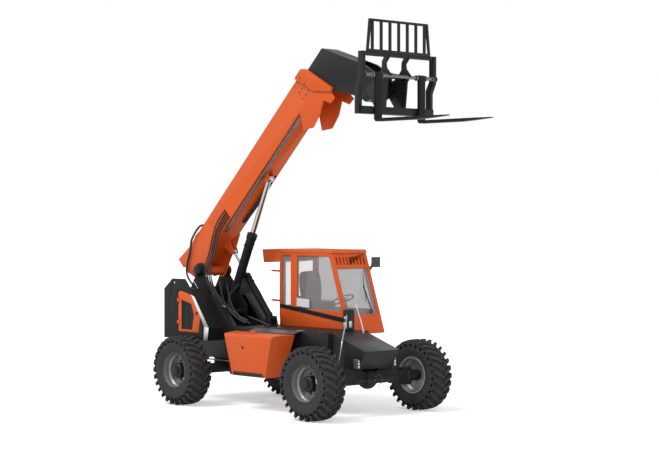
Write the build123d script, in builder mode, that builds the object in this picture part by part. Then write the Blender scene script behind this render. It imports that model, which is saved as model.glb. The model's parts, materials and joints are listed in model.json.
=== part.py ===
"""Rough-terrain telehandler with a side cab, a two-stage boom and pallet forks.

Millimetres, +X forward, +Y to the machine's left, +Z up. The origin lies on the
ground, midway between the tip of the forks and the tail of the boom.
"""
from math import cos, hypot, pi, radians, sin
import os

from build123d import *

# Boom line, in the boom's own frame: along it from its pivot, and square to it
BOOM_ANGLE = 44.6
BOOM_COS = cos(radians(BOOM_ANGLE))
BOOM_SIN = sin(radians(BOOM_ANGLE))
PIVOT_REACH = 2106.0
TAIL_ALONG = -332.0
TAIL_TOP = 575.0
HEAD_ALONG = 4686.6
HEAD_LOW = -781.9
FORK_FACE = 420.0
FORK_LENGTH = 1360.0

# Reach of the whole machine, measured from the middle of the wheelbase
HEAD_REACH = HEAD_ALONG * BOOM_COS - HEAD_LOW * BOOM_SIN - PIVOT_REACH
FORK_TIP_REACH = HEAD_REACH + FORK_FACE + FORK_LENGTH
BOOM_TAIL_REACH = PIVOT_REACH + TAIL_TOP * BOOM_SIN - TAIL_ALONG * BOOM_COS
MID_X = -(FORK_TIP_REACH - BOOM_TAIL_REACH) / 2

# Wheels and axles
WHEELBASE = 3010.0
TRACK = 2200.0
TYRE_DIAMETER = 1080.0
TYRE_WIDTH = 372.0
LUG_COUNT = 22
LUG_DEPTH = 26.0
LUG_START = -70.0
LUG_WIDTH = 56.0
LUG_SWEEP = 74.0
LUG_ROOT = 62.0
LUG_INSET = 7.0
LUG_EDGE = 2.0
TREAD_INSET = 58.0
SHOULDER_DEPTH = 68.0
SIDEWALL_DEPTH = 184.0
SIDEWALL_INSET = 14.0
BEAD_INSET = 38.0
BEAD_RISE = 8.0
RIM_DIAMETER = 560.0
RIM_FLANGE = 14.0
RIM_WIDTH = 330.0
RIM_PLATE = 12.0
SEAT_GAP = 0.3
WELL_DEPTH = 24.0
WELL_HALF = 70.0
DISC_Y = 20.0
DISC_THICKNESS = 18.0
HUB_RADIUS = 118.0
HUB_NOSE_Y = -125.0
HUB_CAP_RADIUS = 62.0
HUB_CAP = 22.0
SPINDLE_RADIUS = 62.0
SPINDLE_LENGTH = 90.0
AXLE_TUBE_RADIUS = 78.0
DIFFERENTIAL_RADIUS = 150.0
KINGPIN_Y = 850.0
KINGPIN_RADIUS = 26.0
KNUCKLE_RADIUS = 72.0
KNUCKLE_HEIGHT = 176.0
YOKE_PLATE = 34.0
YOKE_GAP = 6.0
STEER_ARM_REACH = 170.0
STEER_ARM_HALF = 20.0
STEER_CYLINDER_X = 195.0
STEER_CYLINDER_RADIUS = 42.0
FRONT_AXLE_X = MID_X + WHEELBASE / 2
REAR_AXLE_X = MID_X - WHEELBASE / 2
AXLE_Z = TYRE_DIAMETER / 2
WHEEL_Y = TRACK / 2

# Main frame
FRAME_HALF_WIDTH = 420.0
FRAME_PLATE = 24.0
FRAME_DECK_Z = 1215.0
FRAME_BELLY_Z = 460.0
FRAME_ARCH_Z = 700.0
FRAME_REAR_X = MID_X - 2420.0
FRAME_NOSE_TOP_X = MID_X + 1100.0
FRAME_NOSE_X = MID_X + 1820.0
FRAME_NOSE_Z = 975.0
FRAME_NOSE_HALF = 350.0

# Boom tower and boom pivot
PIVOT_X = MID_X - PIVOT_REACH
PIVOT_Z = 2056.0
PIVOT_PIN_RADIUS = 40.0
PIN_CLEARANCE = 0.4
TOWER_GAP = 240.0
TOWER_PLATE = 28.0
TOWER_EAR_RADIUS = 128.0
TOWER_BOSS_RADIUS = 88.0
TOWER_BOSS_REACH = 335.0

# Boom sections
BOOM_HALF_WIDTH = 200.0
BOOM_LOW = 115.0
BOOM_TOP = 520.0
BOOM_WALL = 12.0
BOOM_FRONT = 3690.0
CHEEK_THICKNESS = 20.0
SLEEVE_RADIUS = 74.0
INNER_HALF_WIDTH = 168.0
INNER_LOW = 146.0
INNER_TOP = 470.0
INNER_WALL = 10.0
INNER_TAIL = 250.0
BOOM_STROKE = 3200.0
COLLAR_LENGTH = 190.0
COLLAR_THICKNESS = 22.0

# Lift cylinder, between the tower and the boom
LIFT_FOOT = (MID_X - 1637.0, 1400.0)
LIFT_EYE_ALONG = 2070.0
LIFT_EYE_LOW = 30.0
LIFT_Y = -40.0
LIFT_BARREL_RADIUS = 74.0
LIFT_BARREL_LENGTH = 1387.0
LIFT_ROD_RADIUS = 40.0
LIFT_ROD_LENGTH = 1440.0
LIFT_EYE_RADIUS = 56.0
LIFT_PIN_RADIUS = 28.0

# Levelling cylinder, beside the lift cylinder
SLAVE_FOOT = (MID_X - 788.0, FRAME_DECK_Z + 107.0)
SLAVE_EYE_ALONG = 507.0
SLAVE_EYE_LOW = -70.0
SLAVE_Y = 118.0
SLAVE_BARREL_RADIUS = 52.0
SLAVE_BARREL_LENGTH = 905.0
SLAVE_ROD_RADIUS = 25.0
SLAVE_ROD_LENGTH = 890.0
SLAVE_EYE_RADIUS = 40.0
SLAVE_PIN_RADIUS = 20.0

CYLINDER_WALL = 10.0
LUG_GAP = 5.0
LUG_PLATE = 20.0

# Carriage and forks, placed from the pin in the boom's head
CARRIAGE_PIVOT = (MID_X + HEAD_REACH, PIVOT_Z + HEAD_ALONG * BOOM_SIN + HEAD_LOW * BOOM_COS)
CARRIAGE_PIN_RADIUS = 26.0
SHAFT_X = CARRIAGE_PIVOT[0] + 385.0
SHAFT_Z = CARRIAGE_PIVOT[1] + 175.0
SHAFT_RADIUS = 25.0
FORK_FACE_X = CARRIAGE_PIVOT[0] + FORK_FACE
FORK_THICKNESS = 45.0
FORK_WIDTH = 125.0
FORK_SPREAD = 445.0
FORK_LOW_Z = CARRIAGE_PIVOT[1] - 487.0
FORK_TIP_THICKNESS = 12.0
FORK_TIP_WIDTH = 60.0
CARRIAGE_HALF_WIDTH = 760.0
CARRIAGE_POST = 62.0
CARRIAGE_RISE = 510.0
CARRIAGE_DROP = 380.0
CARRIAGE_TOP_Z = CARRIAGE_PIVOT[1] + CARRIAGE_RISE
CARRIAGE_LOW_Z = CARRIAGE_PIVOT[1] - CARRIAGE_DROP
CARRIAGE_BAR = 60.0
CARRIAGE_REAR = 240.0
LOWER_BAR_HEIGHT = 110.0
CARRIAGE_PLATE = 25.0
CARRIAGE_PLATE_Y = 190.0
FENCE_HEIGHT = 470.0
FENCE_TOP_Z = CARRIAGE_TOP_Z + FENCE_HEIGHT
FENCE_TOP_HALF = 600.0
FENCE_LOW_HALF = 650.0
FENCE_BARS = 7
FENCE_BAR = 36.0

# Tilt cylinder, inside the boom head
TILT_BASE_ALONG = 4228.8
TILT_BASE_LOW = -35.5
TILT_BASE = (
    PIVOT_X + TILT_BASE_ALONG * BOOM_COS - TILT_BASE_LOW * BOOM_SIN,
    PIVOT_Z + TILT_BASE_ALONG * BOOM_SIN + TILT_BASE_LOW * BOOM_COS,
)
TILT_EYE = (CARRIAGE_PIVOT[0] + 60.0, CARRIAGE_PIVOT[1] + 240.0)
TILT_BARREL_RADIUS = 50.0
TILT_BARREL_LENGTH = 610.0
TILT_ROD_RADIUS = 25.0
TILT_ROD_LENGTH = 620.0
TILT_EYE_RADIUS = 38.0
TILT_PIN_RADIUS = 18.0

# Cab
CAB_RIGHT_Y = 300.0
CAB_LEFT_Y = 1050.0
CAB_REAR_X = MID_X - 790.0
CAB_ROOF_FRONT_X = MID_X + 400.0
CAB_BELT_FRONT_X = MID_X + 700.0
CAB_NOSE_X = MID_X + 790.0
CAB_FLOOR_Z = FRAME_DECK_Z + 2.0
CAB_BELT_Z = CAB_FLOOR_Z + 273.0
CAB_EAVES_Z = CAB_FLOOR_Z + 1151.0
CAB_WINDOW_TOP_Z = CAB_EAVES_Z - 43.0
CAB_ROOF_Z = CAB_EAVES_Z + 57.0
CAB_WALL = 45.0
CAB_FLOOR = 40.0
GLASS = 6.0
VISOR_X = MID_X - 1212.0
VISOR_LOW_Z = CAB_EAVES_Z - 168.0
DOOR_GAP = 6.0

# Rear cover and engine doors
COVER_HALF_WIDTH = 700.0
COVER_REAR_X = MID_X - 2480.0
COVER_LOW_Z = 985.0
COVER_TOP_Z = 1940.0
HOOD_Z = 1780.0
COVER_PLATE = 20.0
ENGINE_DOOR_THICKNESS = 30.0
GRILLE_SLAT = 9.0
GRILLE_PITCH = 28.0

# Fuel and oil tank on the right
TANK_OUTER_Y = 1050.0
TANK_INNER_Y = 590.0
TANK_TOP_Z = 1165.0
TANK_LOW_Z = 525.0

# Smaller sizes of the frame and the tower
BELLY_SETBACK = 260.0
BELLY_RAMP = 90.0
TOWER_FRONT_X = MID_X - 1180.0
FRAME_SHOULDER_Z = 1690.0
SHOULDER_RAMP = 430.0
NOSE_UNDERCUT = 160.0
CHANNEL_REAR_X = MID_X - 2394.0
CHANNEL_FRONT_X = MID_X - 1000.0
CHANNEL_HALF = TOWER_GAP + TOWER_PLATE + SEAT_GAP
SHAFT_ROOM = 26.0
TOWER_REAR_X = MID_X - 2360.0
TOWER_BACK_Z = 1740.0
TOWER_FOOT_X = MID_X - 1200.0
TOWER_LUG = 110.0
SLAVE_LUG = 90.0
AXLE_PAD_Y = 330.0
AXLE_PAD_HALF = 70.0
STEER_BARREL = 420.0
STEER_SPAN = 900.0

# Smaller sizes of the boom
TAIL_LOW = 394.0
TAIL_SLOPE = -60.0
MOUTH_RAKE = 150.0
CHEEK_RADIUS = 108.0
LIFT_EYE_HALF = 42.0
SLAVE_EYE_HALF = 30.0
TILT_EYE_HALF = 34.0
LUG_SPREAD = 2.2
COLLAR_RISE = 36.0
SLIDE_GAP = 0.5
HEAD_SLOT_HALF = 120.0
HEAD_BOSS = 12.0
LINE_YS = (-165.0, -137.0)
LINE_START = 820.0
LINE_END = 3330.0
LINE_LOW = 84.0
LINE_RADIUS = 13.0
LINE_CLAMP = 18.0
CROSS_TUBE = (CARRIAGE_PIVOT[0] + 270.0, CARRIAGE_PIVOT[1] + 186.0)
CROSS_TUBE_RADIUS = 38.0
FENCE_X = CARRIAGE_PIVOT[0] + 370.0
FENCE_PITCH = 178.0
FORK_HEEL = 30.0
FORK_TAPER = 560.0
FORK_POINT = 320.0

# Cylinders: radius, length, rod radius, eye radius, pin radius; then the rods
LIFT_BARREL = (LIFT_BARREL_RADIUS, LIFT_BARREL_LENGTH, LIFT_ROD_RADIUS, LIFT_EYE_RADIUS, LIFT_PIN_RADIUS)
LIFT_ROD = (LIFT_ROD_RADIUS, LIFT_ROD_LENGTH, LIFT_EYE_RADIUS, LIFT_PIN_RADIUS, LIFT_EYE_HALF)
SLAVE_BARREL = (SLAVE_BARREL_RADIUS, SLAVE_BARREL_LENGTH, SLAVE_ROD_RADIUS, SLAVE_EYE_RADIUS, SLAVE_PIN_RADIUS)
SLAVE_ROD = (SLAVE_ROD_RADIUS, SLAVE_ROD_LENGTH, SLAVE_EYE_RADIUS, SLAVE_PIN_RADIUS, SLAVE_EYE_HALF)
TILT_BARREL = (TILT_BARREL_RADIUS, TILT_BARREL_LENGTH, TILT_ROD_RADIUS, TILT_EYE_RADIUS, TILT_PIN_RADIUS)
TILT_ROD = (TILT_ROD_RADIUS, TILT_ROD_LENGTH, TILT_EYE_RADIUS, TILT_PIN_RADIUS, TILT_EYE_HALF)

# Smaller sizes of the cab
CAB_SKIRT_Z = FRAME_DECK_Z + SEAT_GAP
SIDE_POST = 45.0
SIDE_MIDDLE = 255.0
MIDDLE_POST = 150.0
FRONT_POST = 20.0
REAR_POST = 40.0
DOOR_LOW_Z = CAB_FLOOR_Z + 8.0
DOOR_BELT_Z = CAB_BELT_Z + 10.0
DOOR_RAIL = 60.0
DOOR_THICKNESS = 40.0
HANDLE_REACH = 30.0
HANDLE_LENGTH = 120.0
HANDLE_HEIGHT = 30.0
NOSE_LOW_Z = CAB_FLOOR_Z - 67.0
SCREEN_POST = 50.0
SCREEN_LOW_Z = CAB_BELT_Z - 60.0
SCREEN_TOP_Z = CAB_EAVES_Z - 228.0
SLOT_Z = CAB_EAVES_Z - 118.0
SLOT_PITCH = 72.0
SLOT_COUNT = 9
SLOT_WIDTH = 38.0
SLOT_HEIGHT = 120.0
MOUNT_RAIL = 120.0
MOUNT_DROP = 60.0
ROOF_LIP = 20.0
ROOF_SEAT = 0.3
ROOF_FALL = 14.0
VISOR_TAPER = 30.0
HATCH_X = MID_X - 80.0
HATCH_LENGTH = 480.0
HATCH_WIDTH = 480.0
HATCH_DEPTH = 16.0
REAR_WINDOW_TURN = 47.0
REAR_WINDOW_WIDTH = 560.0
REAR_WINDOW_LOW_Z = CAB_FLOOR_Z + 118.0
REAR_WINDOW_FRAME = 24.0
REAR_WINDOW_STANDOFF = 90.0
SEAT_X = MID_X - 330.0
SEAT_Y = 715.0
SEAT_DEPTH = 460.0
SEAT_WIDTH = 460.0
SEAT_BOX = 240.0
SEAT_CUSHION = 110.0
SEAT_BACK = 480.0
WHEEL_CENTRE = (MID_X + 230.0, CAB_FLOOR_Z + 423.0)
COLUMN_TILT = 28.0
COLUMN_LENGTH = 330.0
WHEEL_HUB = 32.0
WHEEL_RIM_RADIUS = 165.0
WHEEL_RIM_SECTION = 12.0
DASH_X = MID_X + 380.0
DASH_SIDE_GAP = 20.0
CONSOLE_Y = 420.0
CONSOLE_WIDTH = 100.0
CONSOLE_HEIGHT = 430.0
MIRROR_ARM_Z = CAB_EAVES_Z - 248.0
MIRROR_ARM = 26.0
MIRROR_Y = 1160.0
MIRROR_Z = CAB_EAVES_Z - 143.0
MIRROR_FORWARD = 40.0
MIRROR_THICKNESS = 30.0
MIRROR_WIDTH = 170.0
MIRROR_HEIGHT = 160.0

# Smaller sizes of the rear cover, the engine and the driveline
COVER_SHOULDER_Z = 1775.0
COVER_CORNER = 210.0
COVER_BREAK_X = MID_X - 1950.0
STRIPE_TOP = (MID_X - 1700.0, 1672.0)
STRIPE_KNEE = (MID_X - 1335.0, 1190.0)
STRIPE_FOOT = (MID_X - 1375.0, COVER_LOW_Z)
COVER_SLOT_HALF = 285.0
COVER_BAY = 1300.0
LIFT_HOLE = 46.0
ENGINE_DOOR = (
    (MID_X - 2110.0, 1100.0),
    (MID_X - 2110.0, 1715.0),
    (MID_X - 2080.0, 1745.0),
    (MID_X - 2017.0, 1745.0),
    (MID_X - 1744.0, 1678.0),
    (MID_X - 1566.0, 1346.0),
    (MID_X - 1600.0, 1100.0),
)
DOOR_GRILLE = (
    (MID_X - 2030.0, 1140.0),
    (MID_X - 2030.0, 1610.0),
    (MID_X - 1780.0, 1550.0),
    (MID_X - 1712.0, 1383.0),
    (MID_X - 1755.0, 1140.0),
)
HINGE_X = ENGINE_DOOR[0][0] - DOOR_GAP / 2
HINGE_ZS = (1250.0, 1600.0)
CAB_HINGE_X = CAB_REAR_X + REAR_POST + DOOR_GAP / 2
CAB_HINGE_ZS = (CAB_FLOOR_Z + 183.0, CAB_EAVES_Z - 218.0)
HINGE_PIN_RADIUS = 5.0
HINGE_RADIUS = 10.0
HINGE_LENGTH = 60.0
HINGE_KNUCKLE = 20.0
HINGE_REACH = 42.0
HINGE_STAND = HINGE_RADIUS + 2.0
ENGINE_X = MID_X - 2110.0
ENGINE_LENGTH = 420.0
ENGINE_WIDTH = 2 * (TOWER_GAP - SEAT_GAP)
ENGINE_HEIGHT = 760.0
GEARBOX_SHIFT = -250.0
GEARBOX_LENGTH = 560.0
GEARBOX_WIDTH = 420.0
GEARBOX_HEIGHT = 360.0
PROPSHAFT_RADIUS = 36.0
SHAFT_SEAT = -2.0
LAMP_SETBACK = 200.0
LAMP_Z = 790.0
LAMP_HEIGHT = 150.0
LAMP_WIDTH = 46.0
LAMP_DEPTH = 90.0
POST_X = MID_X + 980.0
POST_Y = 120.0
POST_LENGTH = 120.0
POST_WIDTH = 130.0
POST_HEIGHT = 330.0
TANK_TAPER = 100.0
TANK_ROUND = 40.0
TANK_RECESS = (MID_X - 150.0, 960.0)
TANK_RECESS_RADIUS = 26.0
TANK_BRACKET = 240.0

BOOM_PLANE = Plane(
    origin=(PIVOT_X, 0, PIVOT_Z),
    x_dir=(BOOM_COS, 0, BOOM_SIN),
    z_dir=(0, -1, 0),
)
SIDE_PLANE = Plane.XZ


def on_boom(along, low, y=0.0):
    """Return the world point of a place given in the boom's own frame."""
    point = BOOM_PLANE.from_local_coords((along, low, 0))
    return (point.X, y, point.Z)


def at_side(plane, y):
    """Return a side-view plane moved to the given y."""
    return plane.offset(-y)


def save(part, name):
    """Label a finished piece and write it as one STEP file."""
    part.label = name
    export_step(part, f"parts/{name}.step")


def mirrored(part):
    """Return the piece's mirror image across the machine's centre plane."""
    return part.mirror(Plane.XZ)


# Cylinder geometry shared by the lift, levelling and tilt cylinders
def cylinder_plane(foot, eye, y):
    """Return a plane at the foot whose x axis runs to the eye, square to the pins."""
    run = hypot(eye[0] - foot[0], eye[1] - foot[1])
    return Plane(
        origin=(foot[0], y, foot[1]),
        x_dir=((eye[0] - foot[0]) / run, 0, (eye[1] - foot[1]) / run),
        z_dir=(0, -1, 0),
    )


def make_barrel(foot, eye, y, radius, length, rod_radius, eye_radius, pin_radius):
    """Return a cylinder barrel with its foot eye, gland and port block."""
    side = cylinder_plane(foot, eye, y)
    gland = radius * 1.12
    with BuildPart() as barrel:
        with BuildSketch(side):
            with BuildLine():
                Polyline(
                    (eye_radius * 0.7, 0),
                    (eye_radius * 0.7, radius * 0.8),
                    (eye_radius * 1.3, radius),
                    (length - gland, radius),
                    (length - gland, gland),
                    (length, gland),
                    (length, 0),
                    (eye_radius * 0.7, 0),
                )
            make_face()
        revolve(axis=Axis(side.origin, side.x_dir))
        with BuildSketch(side):
            Circle(eye_radius)
        extrude(amount=radius, both=True)
        with BuildSketch(side):
            Circle(pin_radius + PIN_CLEARANCE)
        extrude(amount=radius, both=True, mode=Mode.SUBTRACT)
        bore = Plane(origin=side.from_local_coords((length, 0, 0)), z_dir=-side.x_dir)
        with BuildSketch(bore):
            Circle(rod_radius + PIN_CLEARANCE)
        extrude(amount=length - eye_radius * 2.2, mode=Mode.SUBTRACT)
    return barrel.part


def make_rod(foot, eye, y, rod_radius, rod_length, eye_radius, pin_radius, width):
    """Return a piston rod that ends in an eye."""
    side = cylinder_plane(foot, eye, y)
    run = hypot(eye[0] - foot[0], eye[1] - foot[1])
    start = Plane(origin=side.from_local_coords((run, 0, 0)), z_dir=-side.x_dir)
    with BuildPart() as rod:
        with BuildSketch(start):
            Circle(rod_radius)
        extrude(amount=rod_length)
        with BuildSketch(side):
            with Locations((run, 0)):
                Circle(eye_radius)
        extrude(amount=width, both=True)
        with BuildSketch(side):
            with Locations((run, 0)):
                Circle(pin_radius + PIN_CLEARANCE)
        extrude(amount=width, both=True, mode=Mode.SUBTRACT)
    return rod.part


def build_tyre():
    """Tyre about the Y axis: a flat-sided carcass with one slanted bar on each shoulder of a flat."""
    half = TYRE_WIDTH / 2
    outer = TYRE_DIAMETER / 2
    tread = outer - LUG_DEPTH
    bead = RIM_DIAMETER / 2 - RIM_FLANGE
    turn = 180 / LUG_COUNT
    rings = (
        (half - BEAD_INSET, bead + BEAD_RISE),
        (half - SIDEWALL_INSET, tread - SIDEWALL_DEPTH),
        (half, tread - SHOULDER_DEPTH),
        (half - TREAD_INSET, tread),
    )
    across = [(-y, radius) for y, radius in rings] + [(y, radius) for y, radius in reversed(rings)]
    with BuildPart() as lugs:
        for index in range(LUG_COUNT):
            angle = 2 * pi * index / LUG_COUNT - pi / 2
            out = Vector(cos(angle), 0, sin(angle))
            around = Vector(-sin(angle), 0, cos(angle))
            with BuildSketch(Plane(origin=out * (tread - LUG_ROOT), x_dir=around, z_dir=out)):
                for side in (1, -1):
                    Polygon(
                        (LUG_START, side * LUG_INSET),
                        (LUG_START + LUG_WIDTH, side * LUG_INSET),
                        (LUG_START + LUG_WIDTH + LUG_SWEEP, side * (half - LUG_EDGE)),
                        (LUG_START + LUG_SWEEP, side * (half - LUG_EDGE)),
                        align=None,
                    )
            extrude(amount=LUG_ROOT + LUG_DEPTH)
    with BuildPart() as tyre:
        for y, radius in across:
            with BuildSketch(Plane(origin=(0, y, 0), x_dir=(0, 0, -1), z_dir=(0, 1, 0))):
                RegularPolygon(radius, LUG_COUNT, major_radius=False, rotation=turn)
        loft(ruled=True)
        with BuildSketch(Plane(origin=(0, 0, 0), x_dir=(0, 0, -1), z_dir=(0, 1, 0))):
            RegularPolygon(bead, LUG_COUNT, major_radius=False, rotation=turn)
        extrude(amount=half, both=True, mode=Mode.SUBTRACT)
        add(lugs.part)
    return tyre.part


def build_rim():
    """Dished steel wheel with its planetary hub, turned about Y, its dish open towards -Y."""
    half = RIM_WIDTH / 2
    flange = RIM_DIAMETER / 2
    seat = flange - RIM_FLANGE - SEAT_GAP
    inner = seat - RIM_PLATE
    well = inner - WELL_DEPTH
    bore = SPINDLE_RADIUS + PIN_CLEARANCE
    disc_back = DISC_Y + DISC_THICKNESS
    bore_end = disc_back - SPINDLE_LENGTH - LUG_GAP
    with BuildPart() as rim:
        with BuildSketch(Plane.XY):
            with BuildLine():
                Polyline(
                    (flange, -half),
                    (flange, RIM_PLATE - half),
                    (seat, RIM_PLATE - half),
                    (seat, -WELL_HALF),
                    (seat - WELL_DEPTH, WELL_DEPTH - WELL_HALF),
                    (seat - WELL_DEPTH, WELL_HALF - WELL_DEPTH),
                    (seat, WELL_HALF),
                    (seat, half - RIM_PLATE),
                    (flange, half - RIM_PLATE),
                    (flange, half),
                    (inner, half),
                    (inner, WELL_HALF),
                    (well, WELL_HALF - WELL_DEPTH),
                    (well, disc_back),
                    (bore, disc_back),
                    (bore, bore_end),
                    (0, bore_end),
                    (0, HUB_NOSE_Y - HUB_CAP),
                    (HUB_CAP_RADIUS, HUB_NOSE_Y - HUB_CAP),
                    (HUB_CAP_RADIUS, HUB_NOSE_Y),
                    (HUB_RADIUS - HUB_CAP, HUB_NOSE_Y),
                    (HUB_RADIUS, HUB_NOSE_Y + HUB_CAP),
                    (HUB_RADIUS, DISC_Y),
                    (well, DISC_Y),
                    (well, WELL_DEPTH - WELL_HALF),
                    (inner, -WELL_HALF),
                    (inner, -half),
                    close=True,
                )
            make_face()
        revolve(axis=Axis.Y)
    return rim.part


def build_knuckle():
    """Steering knuckle about its kingpin, for a wheel on the -Y side, with its spindle."""
    spindle_start = WHEEL_Y - DISC_Y - DISC_THICKNESS - KINGPIN_Y
    with BuildPart() as knuckle:
        Cylinder(KNUCKLE_RADIUS, KNUCKLE_HEIGHT)
        Cylinder(KINGPIN_RADIUS, KNUCKLE_HEIGHT + 2 * (YOKE_GAP + YOKE_PLATE))
        with BuildSketch(Plane.XZ):
            Circle(SPINDLE_RADIUS + HUB_CAP)
        extrude(amount=spindle_start - LUG_GAP)
        with BuildSketch(Plane.XZ):
            Circle(SPINDLE_RADIUS)
        extrude(amount=spindle_start + SPINDLE_LENGTH)
        with BuildSketch(Plane.XY):
            Polygon(
                (-KNUCKLE_RADIUS / 2, STEER_ARM_HALF),
                (-KNUCKLE_RADIUS / 2, -KNUCKLE_RADIUS / 2),
                (-STEER_ARM_REACH, -STEER_ARM_HALF),
                (-STEER_ARM_REACH, STEER_ARM_HALF),
                align=None,
            )
        extrude(amount=YOKE_PLATE / 2, both=True)
    return knuckle.part


def build_axle():
    """Steered drive axle about its own centre, with yokes that hold the kingpins."""
    yoke_low = KNUCKLE_HEIGHT / 2 + YOKE_GAP
    yoke_reach = yoke_low + YOKE_PLATE
    root = KINGPIN_Y - KNUCKLE_RADIUS - LUG_GAP
    with BuildPart() as axle:
        Cylinder(AXLE_TUBE_RADIUS, 2 * (root - YOKE_PLATE), rotation=(90, 0, 0))
        Sphere(DIFFERENTIAL_RADIUS)
        with BuildSketch(Plane.YZ):
            Polygon(
                (-AXLE_PAD_Y - AXLE_PAD_HALF, 0),
                (AXLE_PAD_Y + AXLE_PAD_HALF, 0),
                (AXLE_PAD_Y + AXLE_PAD_HALF, FRAME_ARCH_Z - AXLE_Z),
                (AXLE_PAD_Y - AXLE_PAD_HALF, FRAME_ARCH_Z - AXLE_Z),
                (0, AXLE_TUBE_RADIUS),
                (AXLE_PAD_HALF - AXLE_PAD_Y, FRAME_ARCH_Z - AXLE_Z),
                (-AXLE_PAD_HALF - AXLE_PAD_Y, FRAME_ARCH_Z - AXLE_Z),
                align=None,
            )
        extrude(amount=AXLE_PAD_HALF, both=True)
        for side in (1, -1):
            with BuildSketch(Plane.YZ):
                Polygon(
                    (side * (root - 2 * YOKE_PLATE), -yoke_reach),
                    (side * KINGPIN_Y, -yoke_reach),
                    (side * KINGPIN_Y, yoke_reach),
                    (side * (root - 2 * YOKE_PLATE), yoke_reach),
                    align=None,
                )
            extrude(amount=KNUCKLE_RADIUS * 0.8, both=True)
            with Locations((0, side * KINGPIN_Y, 0)):
                Cylinder(KNUCKLE_RADIUS * 0.8, 2 * yoke_reach)
                Cylinder(KNUCKLE_RADIUS + LUG_GAP, 2 * yoke_low, mode=Mode.SUBTRACT)
                Cylinder(KINGPIN_RADIUS + PIN_CLEARANCE, 2 * yoke_reach, mode=Mode.SUBTRACT)
            with Locations((0, side * KINGPIN_Y, 0)):
                Box(
                    2 * KNUCKLE_RADIUS,
                    2 * KNUCKLE_RADIUS,
                    2 * yoke_low,
                    align=(Align.CENTER, Align.CENTER, Align.CENTER),
                    mode=Mode.SUBTRACT,
                )
        with Locations((STEER_CYLINDER_X - YOKE_PLATE, 0, 0)):
            Box(DIFFERENTIAL_RADIUS, AXLE_PAD_HALF, AXLE_PAD_HALF)
        with Locations((STEER_CYLINDER_X, 0, 0)):
            Cylinder(STEER_CYLINDER_RADIUS, STEER_BARREL, rotation=(90, 0, 0))
            Cylinder(STEER_CYLINDER_RADIUS / 2, STEER_SPAN, rotation=(90, 0, 0))
    return axle.part


def build_main_frame():
    """Two deep side plates with a sloping nose, joined by deck, belly and cross plates."""
    outline = (
        (FRAME_REAR_X, FRAME_ARCH_Z),
        (REAR_AXLE_X + BELLY_SETBACK, FRAME_ARCH_Z),
        (REAR_AXLE_X + BELLY_SETBACK + BELLY_RAMP, FRAME_BELLY_Z),
        (FRONT_AXLE_X - BELLY_SETBACK - BELLY_RAMP, FRAME_BELLY_Z),
        (FRONT_AXLE_X - BELLY_SETBACK, FRAME_ARCH_Z),
        (FRAME_NOSE_TOP_X, FRAME_ARCH_Z),
        (FRAME_NOSE_TOP_X, FRAME_DECK_Z),
        (TOWER_FRONT_X, FRAME_DECK_Z),
        (TOWER_FRONT_X - SHOULDER_RAMP, FRAME_SHOULDER_Z),
        (FRAME_REAR_X + SHOULDER_RAMP, FRAME_SHOULDER_Z),
        (FRAME_REAR_X, FRAME_DECK_Z),
    )
    nose = (
        (FRAME_NOSE_TOP_X, FRAME_ARCH_Z),
        (FRAME_NOSE_X - NOSE_UNDERCUT, FRAME_ARCH_Z),
        (FRAME_NOSE_X, FRAME_NOSE_Z),
        (FRAME_NOSE_TOP_X, FRAME_DECK_Z),
    )
    inner = FRAME_HALF_WIDTH - FRAME_PLATE
    with BuildPart() as frame:
        with BuildSketch(SIDE_PLANE):
            Polygon(*outline, align=None)
        extrude(amount=FRAME_HALF_WIDTH, both=True)
        with BuildSketch(SIDE_PLANE):
            Polygon(*outline, align=None)
            offset(amount=-FRAME_PLATE, kind=Kind.INTERSECTION)
        extrude(amount=inner, both=True, mode=Mode.SUBTRACT)
        with BuildSketch(SIDE_PLANE):
            Polygon(*nose, align=None)
        extrude(amount=FRAME_NOSE_HALF, both=True)
        with BuildSketch(SIDE_PLANE):
            Polygon(*nose, align=None)
            offset(amount=-FRAME_PLATE, kind=Kind.INTERSECTION)
        extrude(amount=FRAME_NOSE_HALF - FRAME_PLATE, both=True, mode=Mode.SUBTRACT)
        with BuildSketch(Plane.XY.offset(FRAME_ARCH_Z)):
            with Locations(((CHANNEL_REAR_X + CHANNEL_FRONT_X) / 2, 0)):
                Rectangle(CHANNEL_FRONT_X - CHANNEL_REAR_X, 2 * CHANNEL_HALF)
        extrude(amount=COVER_TOP_Z - FRAME_ARCH_Z, mode=Mode.SUBTRACT)
        with BuildSketch(Plane.YZ.offset(MID_X)):
            with Locations((0, AXLE_Z)):
                Circle(PROPSHAFT_RADIUS + SHAFT_ROOM)
        extrude(amount=WHEELBASE / 2, both=True, mode=Mode.SUBTRACT)
        for side in (1, -1):
            lug = SLAVE_Y + side * (SLAVE_BARREL_RADIUS + LUG_GAP)
            with BuildSketch(at_side(SIDE_PLANE, lug)):
                Polygon(
                    (SLAVE_FOOT[0] - SLAVE_LUG, FRAME_DECK_Z - FRAME_PLATE),
                    (SLAVE_FOOT[0] + SLAVE_LUG, FRAME_DECK_Z - FRAME_PLATE),
                    (SLAVE_FOOT[0] + SLAVE_LUG / 2, SLAVE_FOOT[1] + SLAVE_LUG / 2),
                    (SLAVE_FOOT[0] - SLAVE_LUG / 2, SLAVE_FOOT[1] + SLAVE_LUG / 2),
                    align=None,
                )
            extrude(amount=-side * LUG_PLATE)
        with BuildSketch(at_side(SIDE_PLANE, SLAVE_Y)):
            with Locations(SLAVE_FOOT):
                Circle(SLAVE_PIN_RADIUS)
        extrude(amount=SLAVE_BARREL_RADIUS + LUG_GAP + LUG_PLATE, both=True)
    return frame.part


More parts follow.
